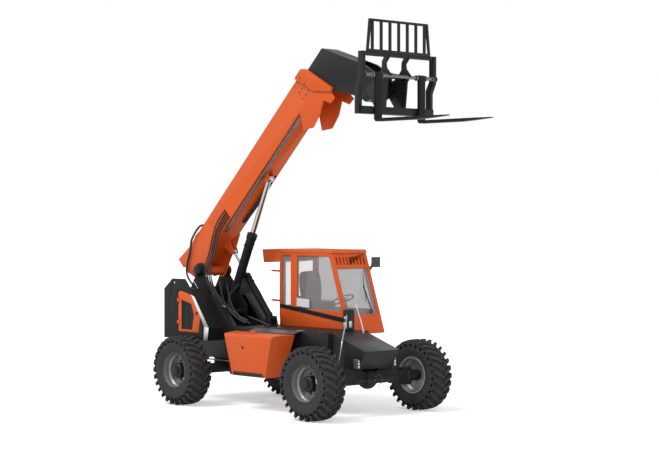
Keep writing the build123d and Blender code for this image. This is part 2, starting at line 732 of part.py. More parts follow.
def build_tower():
    """Two upright plates with bossed ears that carry the boom, the cylinders and the pivot pin."""
    plate = (
        (TOWER_REAR_X, FRAME_ARCH_Z + FRAME_PLATE),
        (TOWER_FOOT_X, FRAME_ARCH_Z + FRAME_PLATE),
        (TOWER_FOOT_X, FRAME_DECK_Z - FRAME_PLATE),
        (LIFT_FOOT[0] + TOWER_LUG, LIFT_FOOT[1] - TOWER_LUG / 2),
        (LIFT_FOOT[0] + TOWER_LUG, LIFT_FOOT[1] + TOWER_LUG),
        (PIVOT_X + TOWER_EAR_RADIUS, PIVOT_Z - TOWER_EAR_RADIUS / 2),
        (PIVOT_X - TOWER_EAR_RADIUS * 0.8, PIVOT_Z - TOWER_EAR_RADIUS / 2),
        (TOWER_REAR_X, TOWER_BACK_Z),
    )
    with BuildPart() as tower:
        for side in (1, -1):
            start = side * TOWER_GAP + (TOWER_PLATE if side > 0 else 0)
            with BuildSketch(at_side(SIDE_PLANE, start)):
                Polygon(*plate, align=None)
                with Locations((PIVOT_X, PIVOT_Z)):
                    Circle(TOWER_EAR_RADIUS)
            extrude(amount=TOWER_PLATE)
            with BuildSketch(at_side(SIDE_PLANE, side * TOWER_GAP)):
                with Locations((PIVOT_X, PIVOT_Z)):
                    Circle(TOWER_BOSS_RADIUS)
            extrude(amount=-side * (TOWER_BOSS_REACH - TOWER_GAP))
        with BuildSketch(SIDE_PLANE):
            with Locations((PIVOT_X, PIVOT_Z)):
                Circle(PIVOT_PIN_RADIUS)
        extrude(amount=TOWER_GAP + TOWER_PLATE, both=True)
        with BuildSketch(SIDE_PLANE):
            Polygon(
                (TOWER_REAR_X, FRAME_ARCH_Z + FRAME_PLATE),
                (TOWER_REAR_X + TOWER_PLATE, FRAME_ARCH_Z + FRAME_PLATE),
                (TOWER_REAR_X + TOWER_PLATE, TOWER_BACK_Z),
                (TOWER_REAR_X, TOWER_BACK_Z),
                align=None,
            )
        extrude(amount=TOWER_GAP, both=True)
        for side in (1, -1):
            eye_edge = LIFT_Y + side * (LIFT_BARREL_RADIUS + LUG_GAP)
            reach = abs(side * TOWER_GAP - eye_edge)
            with BuildSketch(at_side(SIDE_PLANE, side * TOWER_GAP)):
                with Locations(LIFT_FOOT):
                    Circle(LIFT_PIN_RADIUS * 1.6)
            extrude(amount=side * reach)
    return tower.part


def build_boom_base():
    """Outer boom section: a box with cheeks, pivot sleeve, nose plates and cylinder lugs."""
    outline = (
        (TAIL_ALONG, TAIL_LOW),
        (TAIL_ALONG, TAIL_TOP),
        (0, BOOM_TOP),
        (BOOM_FRONT, BOOM_TOP),
        (BOOM_FRONT + MOUTH_RAKE, BOOM_LOW),
        (TAIL_SLOPE, BOOM_LOW),
    )
    cheek = (
        (648, 470),
        (267, 525),
        (74, 440),
        (-182, 368),
        (-296, 252),
        (-220, 69),
        (-CHEEK_RADIUS, 0),
        (0, -CHEEK_RADIUS),
        (287, -10),
        (531, 34),
        (740, BOOM_LOW),
    )
    nose = (
        (3400, BOOM_LOW),
        (3261, -132),
        (3445, -275),
        (3682, -241),
        (3884, -140),
        (3957, -291),
        (4086, -302),
        (4081, -166),
        (BOOM_FRONT + MOUTH_RAKE, BOOM_LOW),
    )
    passage = BOOM_HALF_WIDTH - BOOM_WALL
    with BuildPart() as base:
        with BuildSketch(BOOM_PLANE):
            Polygon(*outline, align=None)
        extrude(amount=BOOM_HALF_WIDTH, both=True)
        for side in (1, -1):
            with BuildSketch(at_side(BOOM_PLANE, side * BOOM_HALF_WIDTH)):
                Polygon(*cheek, align=None)
                Circle(CHEEK_RADIUS)
            extrude(amount=-side * CHEEK_THICKNESS)
            with BuildSketch(at_side(BOOM_PLANE, side * BOOM_HALF_WIDTH)):
                Polygon(*nose, align=None)
            extrude(amount=side * BOOM_WALL)
        with BuildSketch(BOOM_PLANE):
            Circle(SLEEVE_RADIUS)
        extrude(amount=BOOM_HALF_WIDTH + CHEEK_THICKNESS, both=True)
        with BuildSketch(BOOM_PLANE):
            Polygon(*outline, align=None)
            offset(amount=-BOOM_WALL, kind=Kind.INTERSECTION)
            with BuildLine():
                Polyline(
                    (BOOM_FRONT - MOUTH_RAKE, BOOM_LOW + BOOM_WALL),
                    (BOOM_FRONT - MOUTH_RAKE, BOOM_TOP - BOOM_WALL),
                    (BOOM_FRONT + 3 * MOUTH_RAKE, BOOM_TOP - BOOM_WALL),
                    (BOOM_FRONT + 3 * MOUTH_RAKE, BOOM_LOW + BOOM_WALL),
                    close=True,
                )
            make_face()
        extrude(amount=passage, both=True, mode=Mode.SUBTRACT)
        with BuildSketch(BOOM_PLANE):
            Circle(PIVOT_PIN_RADIUS + PIN_CLEARANCE)
        extrude(amount=BOOM_HALF_WIDTH + 2 * CHEEK_THICKNESS, both=True, mode=Mode.SUBTRACT)
        for eye, low, y, half, radius, pin in (
            (LIFT_EYE_ALONG, LIFT_EYE_LOW, LIFT_Y, LIFT_EYE_HALF, LIFT_EYE_RADIUS, LIFT_PIN_RADIUS),
            (SLAVE_EYE_ALONG, SLAVE_EYE_LOW, SLAVE_Y, SLAVE_EYE_HALF, SLAVE_EYE_RADIUS, SLAVE_PIN_RADIUS),
        ):
            for side in (1, -1):
                edge = y + side * (half + LUG_GAP)
                with BuildSketch(at_side(BOOM_PLANE, edge)):
                    Polygon(
                        (eye - LUG_SPREAD * radius, BOOM_LOW),
                        (eye - radius, low),
                        (eye + radius, low),
                        (eye + LUG_SPREAD * radius, BOOM_LOW),
                        align=None,
                    )
                    with Locations((eye, low)):
                        Circle(radius)
                extrude(amount=-side * LUG_PLATE)
        with BuildSketch(at_side(BOOM_PLANE, LIFT_Y)):
            with Locations((LIFT_EYE_ALONG, LIFT_EYE_LOW)):
                Circle(LIFT_PIN_RADIUS)
        extrude(amount=LIFT_EYE_HALF + LUG_GAP + LUG_PLATE, both=True)
    return base.part


def build_collar():
    """Black wear-pad collar bolted round the mouth of the outer boom."""
    outline = (
        (BOOM_FRONT, BOOM_TOP),
        (BOOM_FRONT + COLLAR_THICKNESS / 2, BOOM_TOP + COLLAR_RISE),
        (BOOM_FRONT + COLLAR_LENGTH, BOOM_TOP + COLLAR_RISE),
        (BOOM_FRONT + COLLAR_LENGTH + 80, BOOM_TOP - 50),
        (BOOM_FRONT + COLLAR_LENGTH + 270, -150),
        (4081, -166),
        (BOOM_FRONT + MOUTH_RAKE, BOOM_LOW),
    )
    passage = (
        (BOOM_FRONT - COLLAR_LENGTH, -4 * COLLAR_LENGTH),
        (BOOM_FRONT - COLLAR_LENGTH, INNER_TOP + SLIDE_GAP),
        (BOOM_FRONT + 4 * COLLAR_LENGTH, INNER_TOP + SLIDE_GAP),
        (BOOM_FRONT + 4 * COLLAR_LENGTH, -4 * COLLAR_LENGTH),
    )
    with BuildPart() as collar:
        with BuildSketch(BOOM_PLANE):
            Polygon(*outline, align=None)
        extrude(amount=BOOM_HALF_WIDTH + COLLAR_THICKNESS, both=True)
        with BuildSketch(BOOM_PLANE):
            Polygon(*passage, align=None)
        extrude(amount=INNER_HALF_WIDTH + SLIDE_GAP, both=True, mode=Mode.SUBTRACT)
    return collar.part


def build_boom_inner():
    """Inner boom section: a box that runs inside the outer one, ending in the dropped head."""
    outline = (
        (INNER_TAIL, INNER_LOW),
        (INNER_TAIL, INNER_TOP),
        (4384, INNER_TOP),
        (4806, -345),
        (4880, -620),
        (4815, -845),
        (4600, -870),
        (4461, -800),
        (4417, -635),
        (4162, -246),
        (4069, -147),
        (3950, INNER_LOW),
    )
    with BuildPart() as inner:
        with BuildSketch(BOOM_PLANE):
            Polygon(*outline, align=None)
        extrude(amount=INNER_HALF_WIDTH, both=True)
        with BuildSketch(BOOM_PLANE):
            Polygon(*outline, align=None)
            offset(amount=-INNER_WALL, kind=Kind.INTERSECTION)
        extrude(amount=INNER_HALF_WIDTH - INNER_WALL, both=True, mode=Mode.SUBTRACT)
        with BuildSketch(BOOM_PLANE):
            Polygon((4700, -140), (5100, -140), (5100, -1000), (4740, -1000), (4700, -700), align=None)
        extrude(amount=HEAD_SLOT_HALF, both=True, mode=Mode.SUBTRACT)
        with BuildSketch(BOOM_PLANE):
            with Locations((HEAD_ALONG, HEAD_LOW)):
                Circle(CARRIAGE_PIN_RADIUS * 2)
        extrude(amount=INNER_HALF_WIDTH + HEAD_BOSS, both=True)
        with BuildSketch(BOOM_PLANE):
            with Locations((HEAD_ALONG, HEAD_LOW)):
                Circle(CARRIAGE_PIN_RADIUS + PIN_CLEARANCE)
        extrude(amount=2 * INNER_HALF_WIDTH, both=True, mode=Mode.SUBTRACT)
        for side in (1, -1):
            edge = side * (TILT_BARREL_RADIUS + LUG_GAP)
            with BuildSketch(at_side(BOOM_PLANE, edge)):
                with Locations((TILT_BASE_ALONG, TILT_BASE_LOW)):
                    Circle(TILT_PIN_RADIUS * 2)
            extrude(amount=-side * (INNER_HALF_WIDTH - abs(edge)))
        with BuildSketch(BOOM_PLANE):
            with Locations((TILT_BASE_ALONG, TILT_BASE_LOW)):
                Circle(TILT_PIN_RADIUS)
        extrude(amount=INNER_HALF_WIDTH, both=True)
    return inner.part


def build_boom_lines():
    """Two steel pipes under the outer boom and the bracket that ends them."""
    with BuildPart() as lines:
        for offset_y in LINE_YS:
            with BuildSketch(
                Plane(origin=BOOM_PLANE.from_local_coords((LINE_START, LINE_LOW, -offset_y)), z_dir=BOOM_PLANE.x_dir)
            ):
                Circle(LINE_RADIUS)
            extrude(amount=LINE_END - LINE_START)
        for along in (LINE_START + 120, (LINE_START + LINE_END) / 2, LINE_END - 200):
            with BuildSketch(at_side(BOOM_PLANE, max(LINE_YS) + LINE_CLAMP)):
                with Locations((along, (LINE_LOW + BOOM_LOW - LINE_RADIUS) / 2)):
                    Rectangle(LINE_CLAMP, BOOM_LOW - LINE_LOW + LINE_RADIUS)
            extrude(amount=max(LINE_YS) - min(LINE_YS) + 2 * LINE_CLAMP)
    return lines.part


def build_carriage():
    """Fork carriage: two posts, upper and lower bars, fork shaft and the pivot plates."""
    post = (
        (310, CARRIAGE_RISE),
        (400, CARRIAGE_RISE),
        (400, 110),
        (330, -40),
        (330, -CARRIAGE_DROP),
        (CARRIAGE_REAR, -CARRIAGE_DROP),
        (CARRIAGE_REAR, 10),
        (310, 140),
    )
    plate = (
        (-65, -50),
        (180, 10 - CARRIAGE_DROP),
        (310, -CARRIAGE_DROP),
        (310, LOWER_BAR_HEIGHT - CARRIAGE_DROP),
        (350, 110),
        (425, 195),
        (330, 300),
        (320, 370),
        (390, CARRIAGE_RISE - CARRIAGE_BAR),
        (390, CARRIAGE_RISE),
        (315, CARRIAGE_RISE),
        (240, 400),
        (235, 290),
        (150, 190),
        (-40, 75),
    )
    fork_back = FORK_FACE_X - FORK_THICKNESS - SEAT_GAP
    with BuildPart() as carriage:
        for side in (1, -1):
            with BuildSketch(at_side(SIDE_PLANE, side * CARRIAGE_HALF_WIDTH)):
                with Locations(CARRIAGE_PIVOT):
                    Polygon(*post, align=None)
                with Locations((SHAFT_X, SHAFT_Z)):
                    Circle(SHAFT_RADIUS * 1.7)
            extrude(amount=side * CARRIAGE_POST)
            with BuildSketch(at_side(SIDE_PLANE, side * CARRIAGE_PLATE_Y)):
                with Locations(CARRIAGE_PIVOT):
                    Polygon(*plate, align=None)
                    Circle(CARRIAGE_PIN_RADIUS * 3)
            extrude(amount=-side * CARRIAGE_PLATE)
            inner_lug = side * (TILT_EYE_HALF + LUG_GAP)
            with BuildSketch(at_side(SIDE_PLANE, inner_lug)):
                Polygon(
                    (TILT_EYE[0] - TILT_EYE_RADIUS * 0.5, TILT_EYE[1] + TILT_EYE_RADIUS),
                    (TILT_EYE[0] - TILT_EYE_RADIUS * 0.5, TILT_EYE[1] - TILT_EYE_RADIUS),
                    (CROSS_TUBE[0], CROSS_TUBE[1] - CROSS_TUBE_RADIUS),
                    (CROSS_TUBE[0], CROSS_TUBE[1] + CROSS_TUBE_RADIUS),
                    align=None,
                )
                with Locations(TILT_EYE):
                    Circle(TILT_EYE_RADIUS)
            extrude(amount=-side * LUG_PLATE)
        with BuildSketch(SIDE_PLANE):
            with Locations(CROSS_TUBE):
                Circle(CROSS_TUBE_RADIUS)
        extrude(amount=CARRIAGE_PLATE_Y + CARRIAGE_PLATE / 2, both=True)
        with BuildSketch(SIDE_PLANE):
            with Locations((FENCE_X - CARRIAGE_BAR / 4, CARRIAGE_TOP_Z - CARRIAGE_BAR / 2)):
                Rectangle(CARRIAGE_BAR, CARRIAGE_BAR)
        extrude(amount=CARRIAGE_HALF_WIDTH - CARRIAGE_POST / 2, both=True)
        with BuildSketch(SIDE_PLANE):
            Polygon(
                (CARRIAGE_PIVOT[0] + CARRIAGE_REAR, CARRIAGE_LOW_Z),
                (fork_back, CARRIAGE_LOW_Z),
                (fork_back, CARRIAGE_LOW_Z + LOWER_BAR_HEIGHT),
                (CARRIAGE_PIVOT[0] + CARRIAGE_REAR, CARRIAGE_LOW_Z + LOWER_BAR_HEIGHT),
                align=None,
            )
        extrude(amount=CARRIAGE_HALF_WIDTH - CARRIAGE_POST / 2, both=True)
        with BuildSketch(SIDE_PLANE):
            with Locations((SHAFT_X, SHAFT_Z)):
                Circle(SHAFT_RADIUS)
        extrude(amount=CARRIAGE_HALF_WIDTH, both=True)
        with BuildSketch(SIDE_PLANE):
            with Locations(CARRIAGE_PIVOT):
                Circle(CARRIAGE_PIN_RADIUS)
        extrude(amount=CARRIAGE_PLATE_Y + CARRIAGE_PLATE / 2, both=True)
    return carriage.part


def build_backrest():
    """Load backrest: upright bars between a narrow top rail and the carriage's upper bar."""
    depth = FENCE_BAR / 2
    with BuildPart() as fence:
        with BuildSketch(Plane.YZ.offset(FENCE_X)):
            Polygon(
                (-FENCE_LOW_HALF, CARRIAGE_TOP_Z + SEAT_GAP),
                (FENCE_LOW_HALF, CARRIAGE_TOP_Z + SEAT_GAP),
                (FENCE_TOP_HALF, FENCE_TOP_Z),
                (-FENCE_TOP_HALF, FENCE_TOP_Z),
                align=None,
            )
            Polygon(
                (-FENCE_LOW_HALF + FENCE_BAR, CARRIAGE_TOP_Z + FENCE_BAR),
                (FENCE_LOW_HALF - FENCE_BAR, CARRIAGE_TOP_Z + FENCE_BAR),
                (FENCE_TOP_HALF - FENCE_BAR, FENCE_TOP_Z - FENCE_BAR),
                (-FENCE_TOP_HALF + FENCE_BAR, FENCE_TOP_Z - FENCE_BAR),
                align=None,
                mode=Mode.SUBTRACT,
            )
            with Locations((0, (CARRIAGE_TOP_Z + FENCE_TOP_Z) / 2)):
                with GridLocations(FENCE_PITCH, 1, FENCE_BARS, 1):
                    Rectangle(FENCE_BAR, FENCE_TOP_Z - CARRIAGE_TOP_Z - FENCE_BAR)
        extrude(amount=depth, both=True)
    return fence.part


def build_forks():
    """Two tapered forks that hang on the shaft by their eyes."""
    back = FORK_FACE_X - FORK_THICKNESS
    top = FORK_LOW_Z + FORK_THICKNESS
    tip = MID_X + FORK_TIP_REACH
    with BuildPart() as forks:
        for side in (1, -1):
            with BuildSketch(at_side(SIDE_PLANE, side * FORK_SPREAD + FORK_WIDTH / 2)):
                Polygon(
                    (back, FORK_LOW_Z + FORK_HEEL),
                    (back + FORK_HEEL, FORK_LOW_Z),
                    (tip - FORK_TAPER, FORK_LOW_Z),
                    (tip, top - FORK_TIP_THICKNESS),
                    (tip, top),
                    (FORK_FACE_X, top),
                    (FORK_FACE_X, SHAFT_Z),
                    (back, SHAFT_Z),
                    align=None,
                )
                with Locations((SHAFT_X, SHAFT_Z)):
                    Circle(SHAFT_RADIUS * 1.8)
                    Circle(SHAFT_RADIUS + PIN_CLEARANCE, mode=Mode.SUBTRACT)
            extrude(amount=FORK_WIDTH)
            with BuildSketch(Plane.XY.offset(top)):
                for edge in (1, -1):
                    outer = side * FORK_SPREAD + edge * FORK_WIDTH / 2
                    Polygon(
                        (tip, outer + edge),
                        (tip, outer - edge * (FORK_WIDTH - FORK_TIP_WIDTH) / 2),
                        (tip - FORK_POINT, outer),
                        (tip - FORK_POINT, outer + edge),
                        align=None,
                    )
            extrude(amount=-2 * FORK_THICKNESS, mode=Mode.SUBTRACT)
    return forks.part


def cab_front_x(z):
    """Return the x of the cab's sloping front edge at a height."""
    share = (CAB_EAVES_Z - z) / (CAB_EAVES_Z - CAB_BELT_Z)
    return CAB_ROOF_FRONT_X + share * (CAB_BELT_FRONT_X - CAB_ROOF_FRONT_X)


def front_wall_run():
    """Return the front wall's thickness measured along X, with its seat gap."""
    rise = CAB_EAVES_Z - CAB_BELT_Z
    slope = hypot(CAB_BELT_FRONT_X - CAB_ROOF_FRONT_X, rise) / rise
    return CAB_WALL * slope + SEAT_GAP


def front_plane():
    """Return a plane on the windscreen face: x to the left, y up the slope, normal outwards."""
    slope = Vector(CAB_ROOF_FRONT_X - cab_front_x(CAB_FLOOR_Z), 0, CAB_EAVES_Z - CAB_FLOOR_Z)
    normal = Vector(slope.Z, 0, -slope.X).normalized()
    return Plane(origin=(cab_front_x(CAB_FLOOR_Z), 0, CAB_FLOOR_Z), x_dir=(0, 1, 0), z_dir=normal)


def slope_at(z):
    """Return the distance up the windscreen face at a height."""
    length = hypot(cab_front_x(CAB_FLOOR_Z) - CAB_ROOF_FRONT_X, CAB_EAVES_Z - CAB_FLOOR_Z)
    return (z - CAB_FLOOR_Z) / (CAB_EAVES_Z - CAB_FLOOR_Z) * length


def side_outline(low, rear, front_gap):
    """Return a cab side outline between the given bottom and the eaves."""
    return (
        (rear, low),
        (rear, CAB_EAVES_Z),
        (CAB_ROOF_FRONT_X - front_gap, CAB_EAVES_Z),
        (cab_front_x(low) - front_gap, low),
    )


def build_cab_side():
    """Right wall of the cab: an orange frame with two window openings."""
    gap = front_wall_run()
    post = CAB_REAR_X + SIDE_POST
    middle = CAB_REAR_X + SIDE_MIDDLE
    with BuildPart() as wall:
        with BuildSketch(at_side(SIDE_PLANE, CAB_RIGHT_Y + CAB_WALL)):
            Polygon(*side_outline(CAB_SKIRT_Z, CAB_REAR_X, gap), align=None)
            Polygon(
                (post, CAB_BELT_Z),
                (post, CAB_WINDOW_TOP_Z),
                (middle, CAB_WINDOW_TOP_Z),
                (middle, CAB_BELT_Z),
                align=None,
                mode=Mode.SUBTRACT,
            )
            Polygon(
                (middle + MIDDLE_POST, CAB_BELT_Z),
                (middle + MIDDLE_POST, CAB_WINDOW_TOP_Z),
                (cab_front_x(CAB_WINDOW_TOP_Z) - gap - FRONT_POST, CAB_WINDOW_TOP_Z),
                (cab_front_x(CAB_BELT_Z) - gap - FRONT_POST, CAB_BELT_Z),
                align=None,
                mode=Mode.SUBTRACT,
            )
        extrude(amount=CAB_WALL)
    return wall.part


def build_cab_door():
    """Left door of the cab: one tall frame with its window opening and handle."""
    gap = front_wall_run() + DOOR_GAP
    with BuildPart() as door:
        with BuildSketch(at_side(SIDE_PLANE, CAB_LEFT_Y)):
            Polygon(*side_outline(DOOR_LOW_Z, CAB_REAR_X + REAR_POST + DOOR_GAP, gap), align=None)
            Polygon(
                (CAB_REAR_X + REAR_POST + DOOR_RAIL, DOOR_BELT_Z),
                (CAB_REAR_X + REAR_POST + DOOR_RAIL, CAB_WINDOW_TOP_Z - DOOR_RAIL / 2),
                (cab_front_x(CAB_WINDOW_TOP_Z) - gap - DOOR_RAIL, CAB_WINDOW_TOP_Z - DOOR_RAIL / 2),
                (cab_front_x(DOOR_BELT_Z) - gap - DOOR_RAIL, DOOR_BELT_Z),
                align=None,
                mode=Mode.SUBTRACT,
            )
        extrude(amount=DOOR_THICKNESS)
        with BuildSketch(at_side(SIDE_PLANE, CAB_LEFT_Y + HANDLE_REACH)):
            with Locations((cab_front_x(DOOR_BELT_Z) - gap - DOOR_RAIL, DOOR_BELT_Z - DOOR_RAIL)):
                Rectangle(HANDLE_LENGTH, HANDLE_HEIGHT)
        extrude(amount=HANDLE_REACH)
        for z in CAB_HINGE_ZS:
            add_hinge_leaf(CAB_HINGE_X, CAB_LEFT_Y, 1, z)
    return door.part


def build_cab_front():
    """Front of the cab: sloping frame with the slotted header, windscreen opening and nose."""
    face = front_plane()
    low = slope_at(NOSE_LOW_Z)
    over_frame = slope_at(FRAME_DECK_Z + LUG_GAP + CAB_WALL * face.z_dir.Z)
    with BuildPart() as front:
        with BuildSketch(face):
            Polygon(
                (CAB_RIGHT_Y, over_frame),
                (FRAME_HALF_WIDTH + LUG_GAP, over_frame),
                (FRAME_HALF_WIDTH + LUG_GAP, low),
                (CAB_LEFT_Y, low),
                (CAB_LEFT_Y, slope_at(CAB_EAVES_Z)),
                (CAB_RIGHT_Y, slope_at(CAB_EAVES_Z)),
                align=None,
            )
            Polygon(
                (CAB_RIGHT_Y + SCREEN_POST, slope_at(SCREEN_LOW_Z)),
                (CAB_LEFT_Y - SCREEN_POST, slope_at(SCREEN_LOW_Z)),
                (CAB_LEFT_Y - SCREEN_POST, slope_at(SCREEN_TOP_Z)),
                (CAB_RIGHT_Y + SCREEN_POST, slope_at(SCREEN_TOP_Z)),
                align=None,
                mode=Mode.SUBTRACT,
            )
            with Locations(((CAB_RIGHT_Y + CAB_LEFT_Y) / 2, slope_at(SLOT_Z))):
                with GridLocations(SLOT_PITCH, 1, SLOT_COUNT, 1):
                    Rectangle(SLOT_WIDTH, SLOT_HEIGHT, mode=Mode.SUBTRACT)
        extrude(amount=-CAB_WALL)
    return front.part


def add_hinge_post(x, face, outward, z):
    """Add a hinge's pin and its two outer knuckles, with their leaves, to the fixed piece."""
    y = face + outward * HINGE_STAND
    side = Align.MAX if outward > 0 else Align.MIN
    with Locations((x, y, z)):
        Cylinder(HINGE_PIN_RADIUS, HINGE_LENGTH + 2 * HINGE_KNUCKLE)
    for end, step in ((1, Align.MIN), (-1, Align.MAX)):
        with Locations((x, y, z + end * (HINGE_LENGTH / 2 + SEAT_GAP))):
            Cylinder(HINGE_RADIUS, HINGE_KNUCKLE, align=(Align.CENTER, Align.CENTER, step))
            Box(HINGE_REACH, HINGE_STAND, HINGE_KNUCKLE, align=(Align.MAX, side, step))


def add_hinge_leaf(x, face, outward, z):
    """Add a hinge's middle knuckle, bored for the pin, with its leaf, to the piece that swings."""
    side = Align.MAX if outward > 0 else Align.MIN
    with Locations((x, face + outward * HINGE_STAND, z)):
        Cylinder(HINGE_RADIUS, HINGE_LENGTH)
        Box(HINGE_REACH, HINGE_STAND, HINGE_LENGTH, align=(Align.MIN, side, Align.CENTER))
        Cylinder(HINGE_PIN_RADIUS + PIN_CLEARANCE, HINGE_LENGTH, mode=Mode.SUBTRACT)


def build_cab_rear():
    """Rear wall of the cab with its window opening, the left rear post and its hinges."""
    with BuildPart() as rear:
        with BuildSketch(Plane.YZ.offset(CAB_REAR_X)):
            Polygon(
                (CAB_RIGHT_Y + CAB_WALL + SEAT_GAP, CAB_SKIRT_Z),
                (CAB_LEFT_Y, CAB_SKIRT_Z),
                (CAB_LEFT_Y, CAB_EAVES_Z),
                (CAB_RIGHT_Y + CAB_WALL + SEAT_GAP, CAB_EAVES_Z),
                align=None,
            )
            Polygon(
                (CAB_RIGHT_Y + 2 * CAB_WALL, CAB_BELT_Z + CAB_WALL),
                (CAB_LEFT_Y - CAB_WALL, CAB_BELT_Z + CAB_WALL),
                (CAB_LEFT_Y - CAB_WALL, CAB_WINDOW_TOP_Z - CAB_WALL),
                (CAB_RIGHT_Y + 2 * CAB_WALL, CAB_WINDOW_TOP_Z - CAB_WALL),
                align=None,
                mode=Mode.SUBTRACT,
            )
        extrude(amount=REAR_POST)
        for z in CAB_HINGE_ZS:
            add_hinge_post(CAB_HINGE_X, CAB_LEFT_Y, 1, z)
    return rear.part


def build_cab_base():
    """Cab floor with the rail that carries its outer half beside the frame."""
    floor_front = cab_front_x(CAB_FLOOR_Z + CAB_FLOOR) - front_wall_run() - SEAT_GAP
    with BuildPart() as base:
        with BuildSketch(Plane.XY.offset(CAB_FLOOR_Z)):
            Polygon(
                (CAB_REAR_X + REAR_POST + SEAT_GAP, CAB_RIGHT_Y + CAB_WALL + SEAT_GAP),
                (CAB_REAR_X + REAR_POST + SEAT_GAP, CAB_LEFT_Y - DOOR_THICKNESS - DOOR_GAP),
                (floor_front, CAB_LEFT_Y - DOOR_THICKNESS - DOOR_GAP),
                (floor_front, CAB_RIGHT_Y + CAB_WALL + SEAT_GAP),
                align=None,
            )
        extrude(amount=CAB_FLOOR)
        rail_rear = CAB_REAR_X + REAR_POST + SEAT_GAP
        with Locations((rail_rear, FRAME_HALF_WIDTH + SEAT_GAP, CAB_FLOOR_Z)):
            Box(
                CAB_ROOF_FRONT_X - rail_rear,
                MOUNT_RAIL,
                MOUNT_DROP,
                align=(Align.MIN, Align.MIN, Align.MAX),
            )
    return base.part


def build_cab_roof():
    """Cab roof with a shallow hatch recess and the deep visor box over the rear window."""
    middle_y = (CAB_RIGHT_Y + CAB_LEFT_Y) / 2
    width = CAB_LEFT_Y - CAB_RIGHT_Y
    front = CAB_ROOF_FRONT_X + ROOF_LIP
    with BuildPart() as roof:
        with BuildSketch(at_side(SIDE_PLANE, CAB_LEFT_Y)):
            Polygon(
                (VISOR_X, CAB_EAVES_Z + ROOF_SEAT),
                (VISOR_X, CAB_ROOF_Z - ROOF_FALL),
                (CAB_REAR_X, CAB_ROOF_Z),
                (front - ROOF_FALL * 2, CAB_ROOF_Z),
                (front, CAB_EAVES_Z + ROOF_SEAT + ROOF_FALL),
                (front, CAB_EAVES_Z + ROOF_SEAT),
                align=None,
            )
        extrude(amount=width)
        with BuildSketch(at_side(SIDE_PLANE, CAB_LEFT_Y)):
            Polygon(
                (VISOR_X, CAB_EAVES_Z + ROOF_SEAT),
                (VISOR_X + VISOR_TAPER, VISOR_LOW_Z),
                (CAB_REAR_X - DOOR_GAP, VISOR_LOW_Z + VISOR_TAPER),
                (CAB_REAR_X - DOOR_GAP, CAB_EAVES_Z + ROOF_SEAT),
                align=None,
            )
        extrude(amount=width)
        with BuildSketch(Plane.XY.offset(CAB_ROOF_Z)):
            with Locations((HATCH_X, middle_y)):
                Rectangle(HATCH_LENGTH, HATCH_WIDTH)
        extrude(amount=-HATCH_DEPTH, mode=Mode.SUBTRACT)
    return roof.part


def build_cab_glass():
    """Fixed panes of the right wall and the windscreen."""
    face = front_plane()
    post = CAB_REAR_X + SIDE_POST
    middle = CAB_REAR_X + SIDE_MIDDLE
    gap = front_wall_run()
    edge = SEAT_GAP
    with BuildPart() as glass:
        with BuildSketch(at_side(SIDE_PLANE, CAB_RIGHT_Y + CAB_WALL / 2)):
            Polygon(
                (post + edge, CAB_BELT_Z + edge),
                (post + edge, CAB_WINDOW_TOP_Z - edge),
                (middle - edge, CAB_WINDOW_TOP_Z - edge),
                (middle - edge, CAB_BELT_Z + edge),
                align=None,
            )
            Polygon(
                (middle + MIDDLE_POST + edge, CAB_BELT_Z + edge),
                (middle + MIDDLE_POST + edge, CAB_WINDOW_TOP_Z - edge),
                (cab_front_x(CAB_WINDOW_TOP_Z) - gap - FRONT_POST - edge, CAB_WINDOW_TOP_Z - edge),
                (cab_front_x(CAB_BELT_Z) - gap - FRONT_POST - edge, CAB_BELT_Z + edge),
                align=None,
            )
        extrude(amount=GLASS)
        with BuildSketch(face.offset(-CAB_WALL / 2)):
            Polygon(
                (CAB_RIGHT_Y + SCREEN_POST + edge, slope_at(SCREEN_LOW_Z) + edge),
                (CAB_LEFT_Y - SCREEN_POST - edge, slope_at(SCREEN_LOW_Z) + edge),
                (CAB_LEFT_Y - SCREEN_POST - edge, slope_at(SCREEN_TOP_Z) - edge),
                (CAB_RIGHT_Y + SCREEN_POST + edge, slope_at(SCREEN_TOP_Z) - edge),
                align=None,
            )
        extrude(amount=GLASS)
    return glass.part


def build_door_glass():
    """Pane of the cab door."""
    gap = front_wall_run() + DOOR_GAP
    edge = SEAT_GAP
    with BuildPart() as glass:
        with BuildSketch(at_side(SIDE_PLANE, CAB_LEFT_Y - DOOR_THICKNESS / 2)):
            Polygon(
                (CAB_REAR_X + REAR_POST + DOOR_RAIL + edge, DOOR_BELT_Z + edge),
                (CAB_REAR_X + REAR_POST + DOOR_RAIL + edge, CAB_WINDOW_TOP_Z - DOOR_RAIL / 2 - edge),
                (cab_front_x(CAB_WINDOW_TOP_Z) - gap - DOOR_RAIL - edge, CAB_WINDOW_TOP_Z - DOOR_RAIL / 2 - edge),
                (cab_front_x(DOOR_BELT_Z) - gap - DOOR_RAIL - edge, DOOR_BELT_Z + edge),
                align=None,
            )
        extrude(amount=GLASS)
    return glass.part


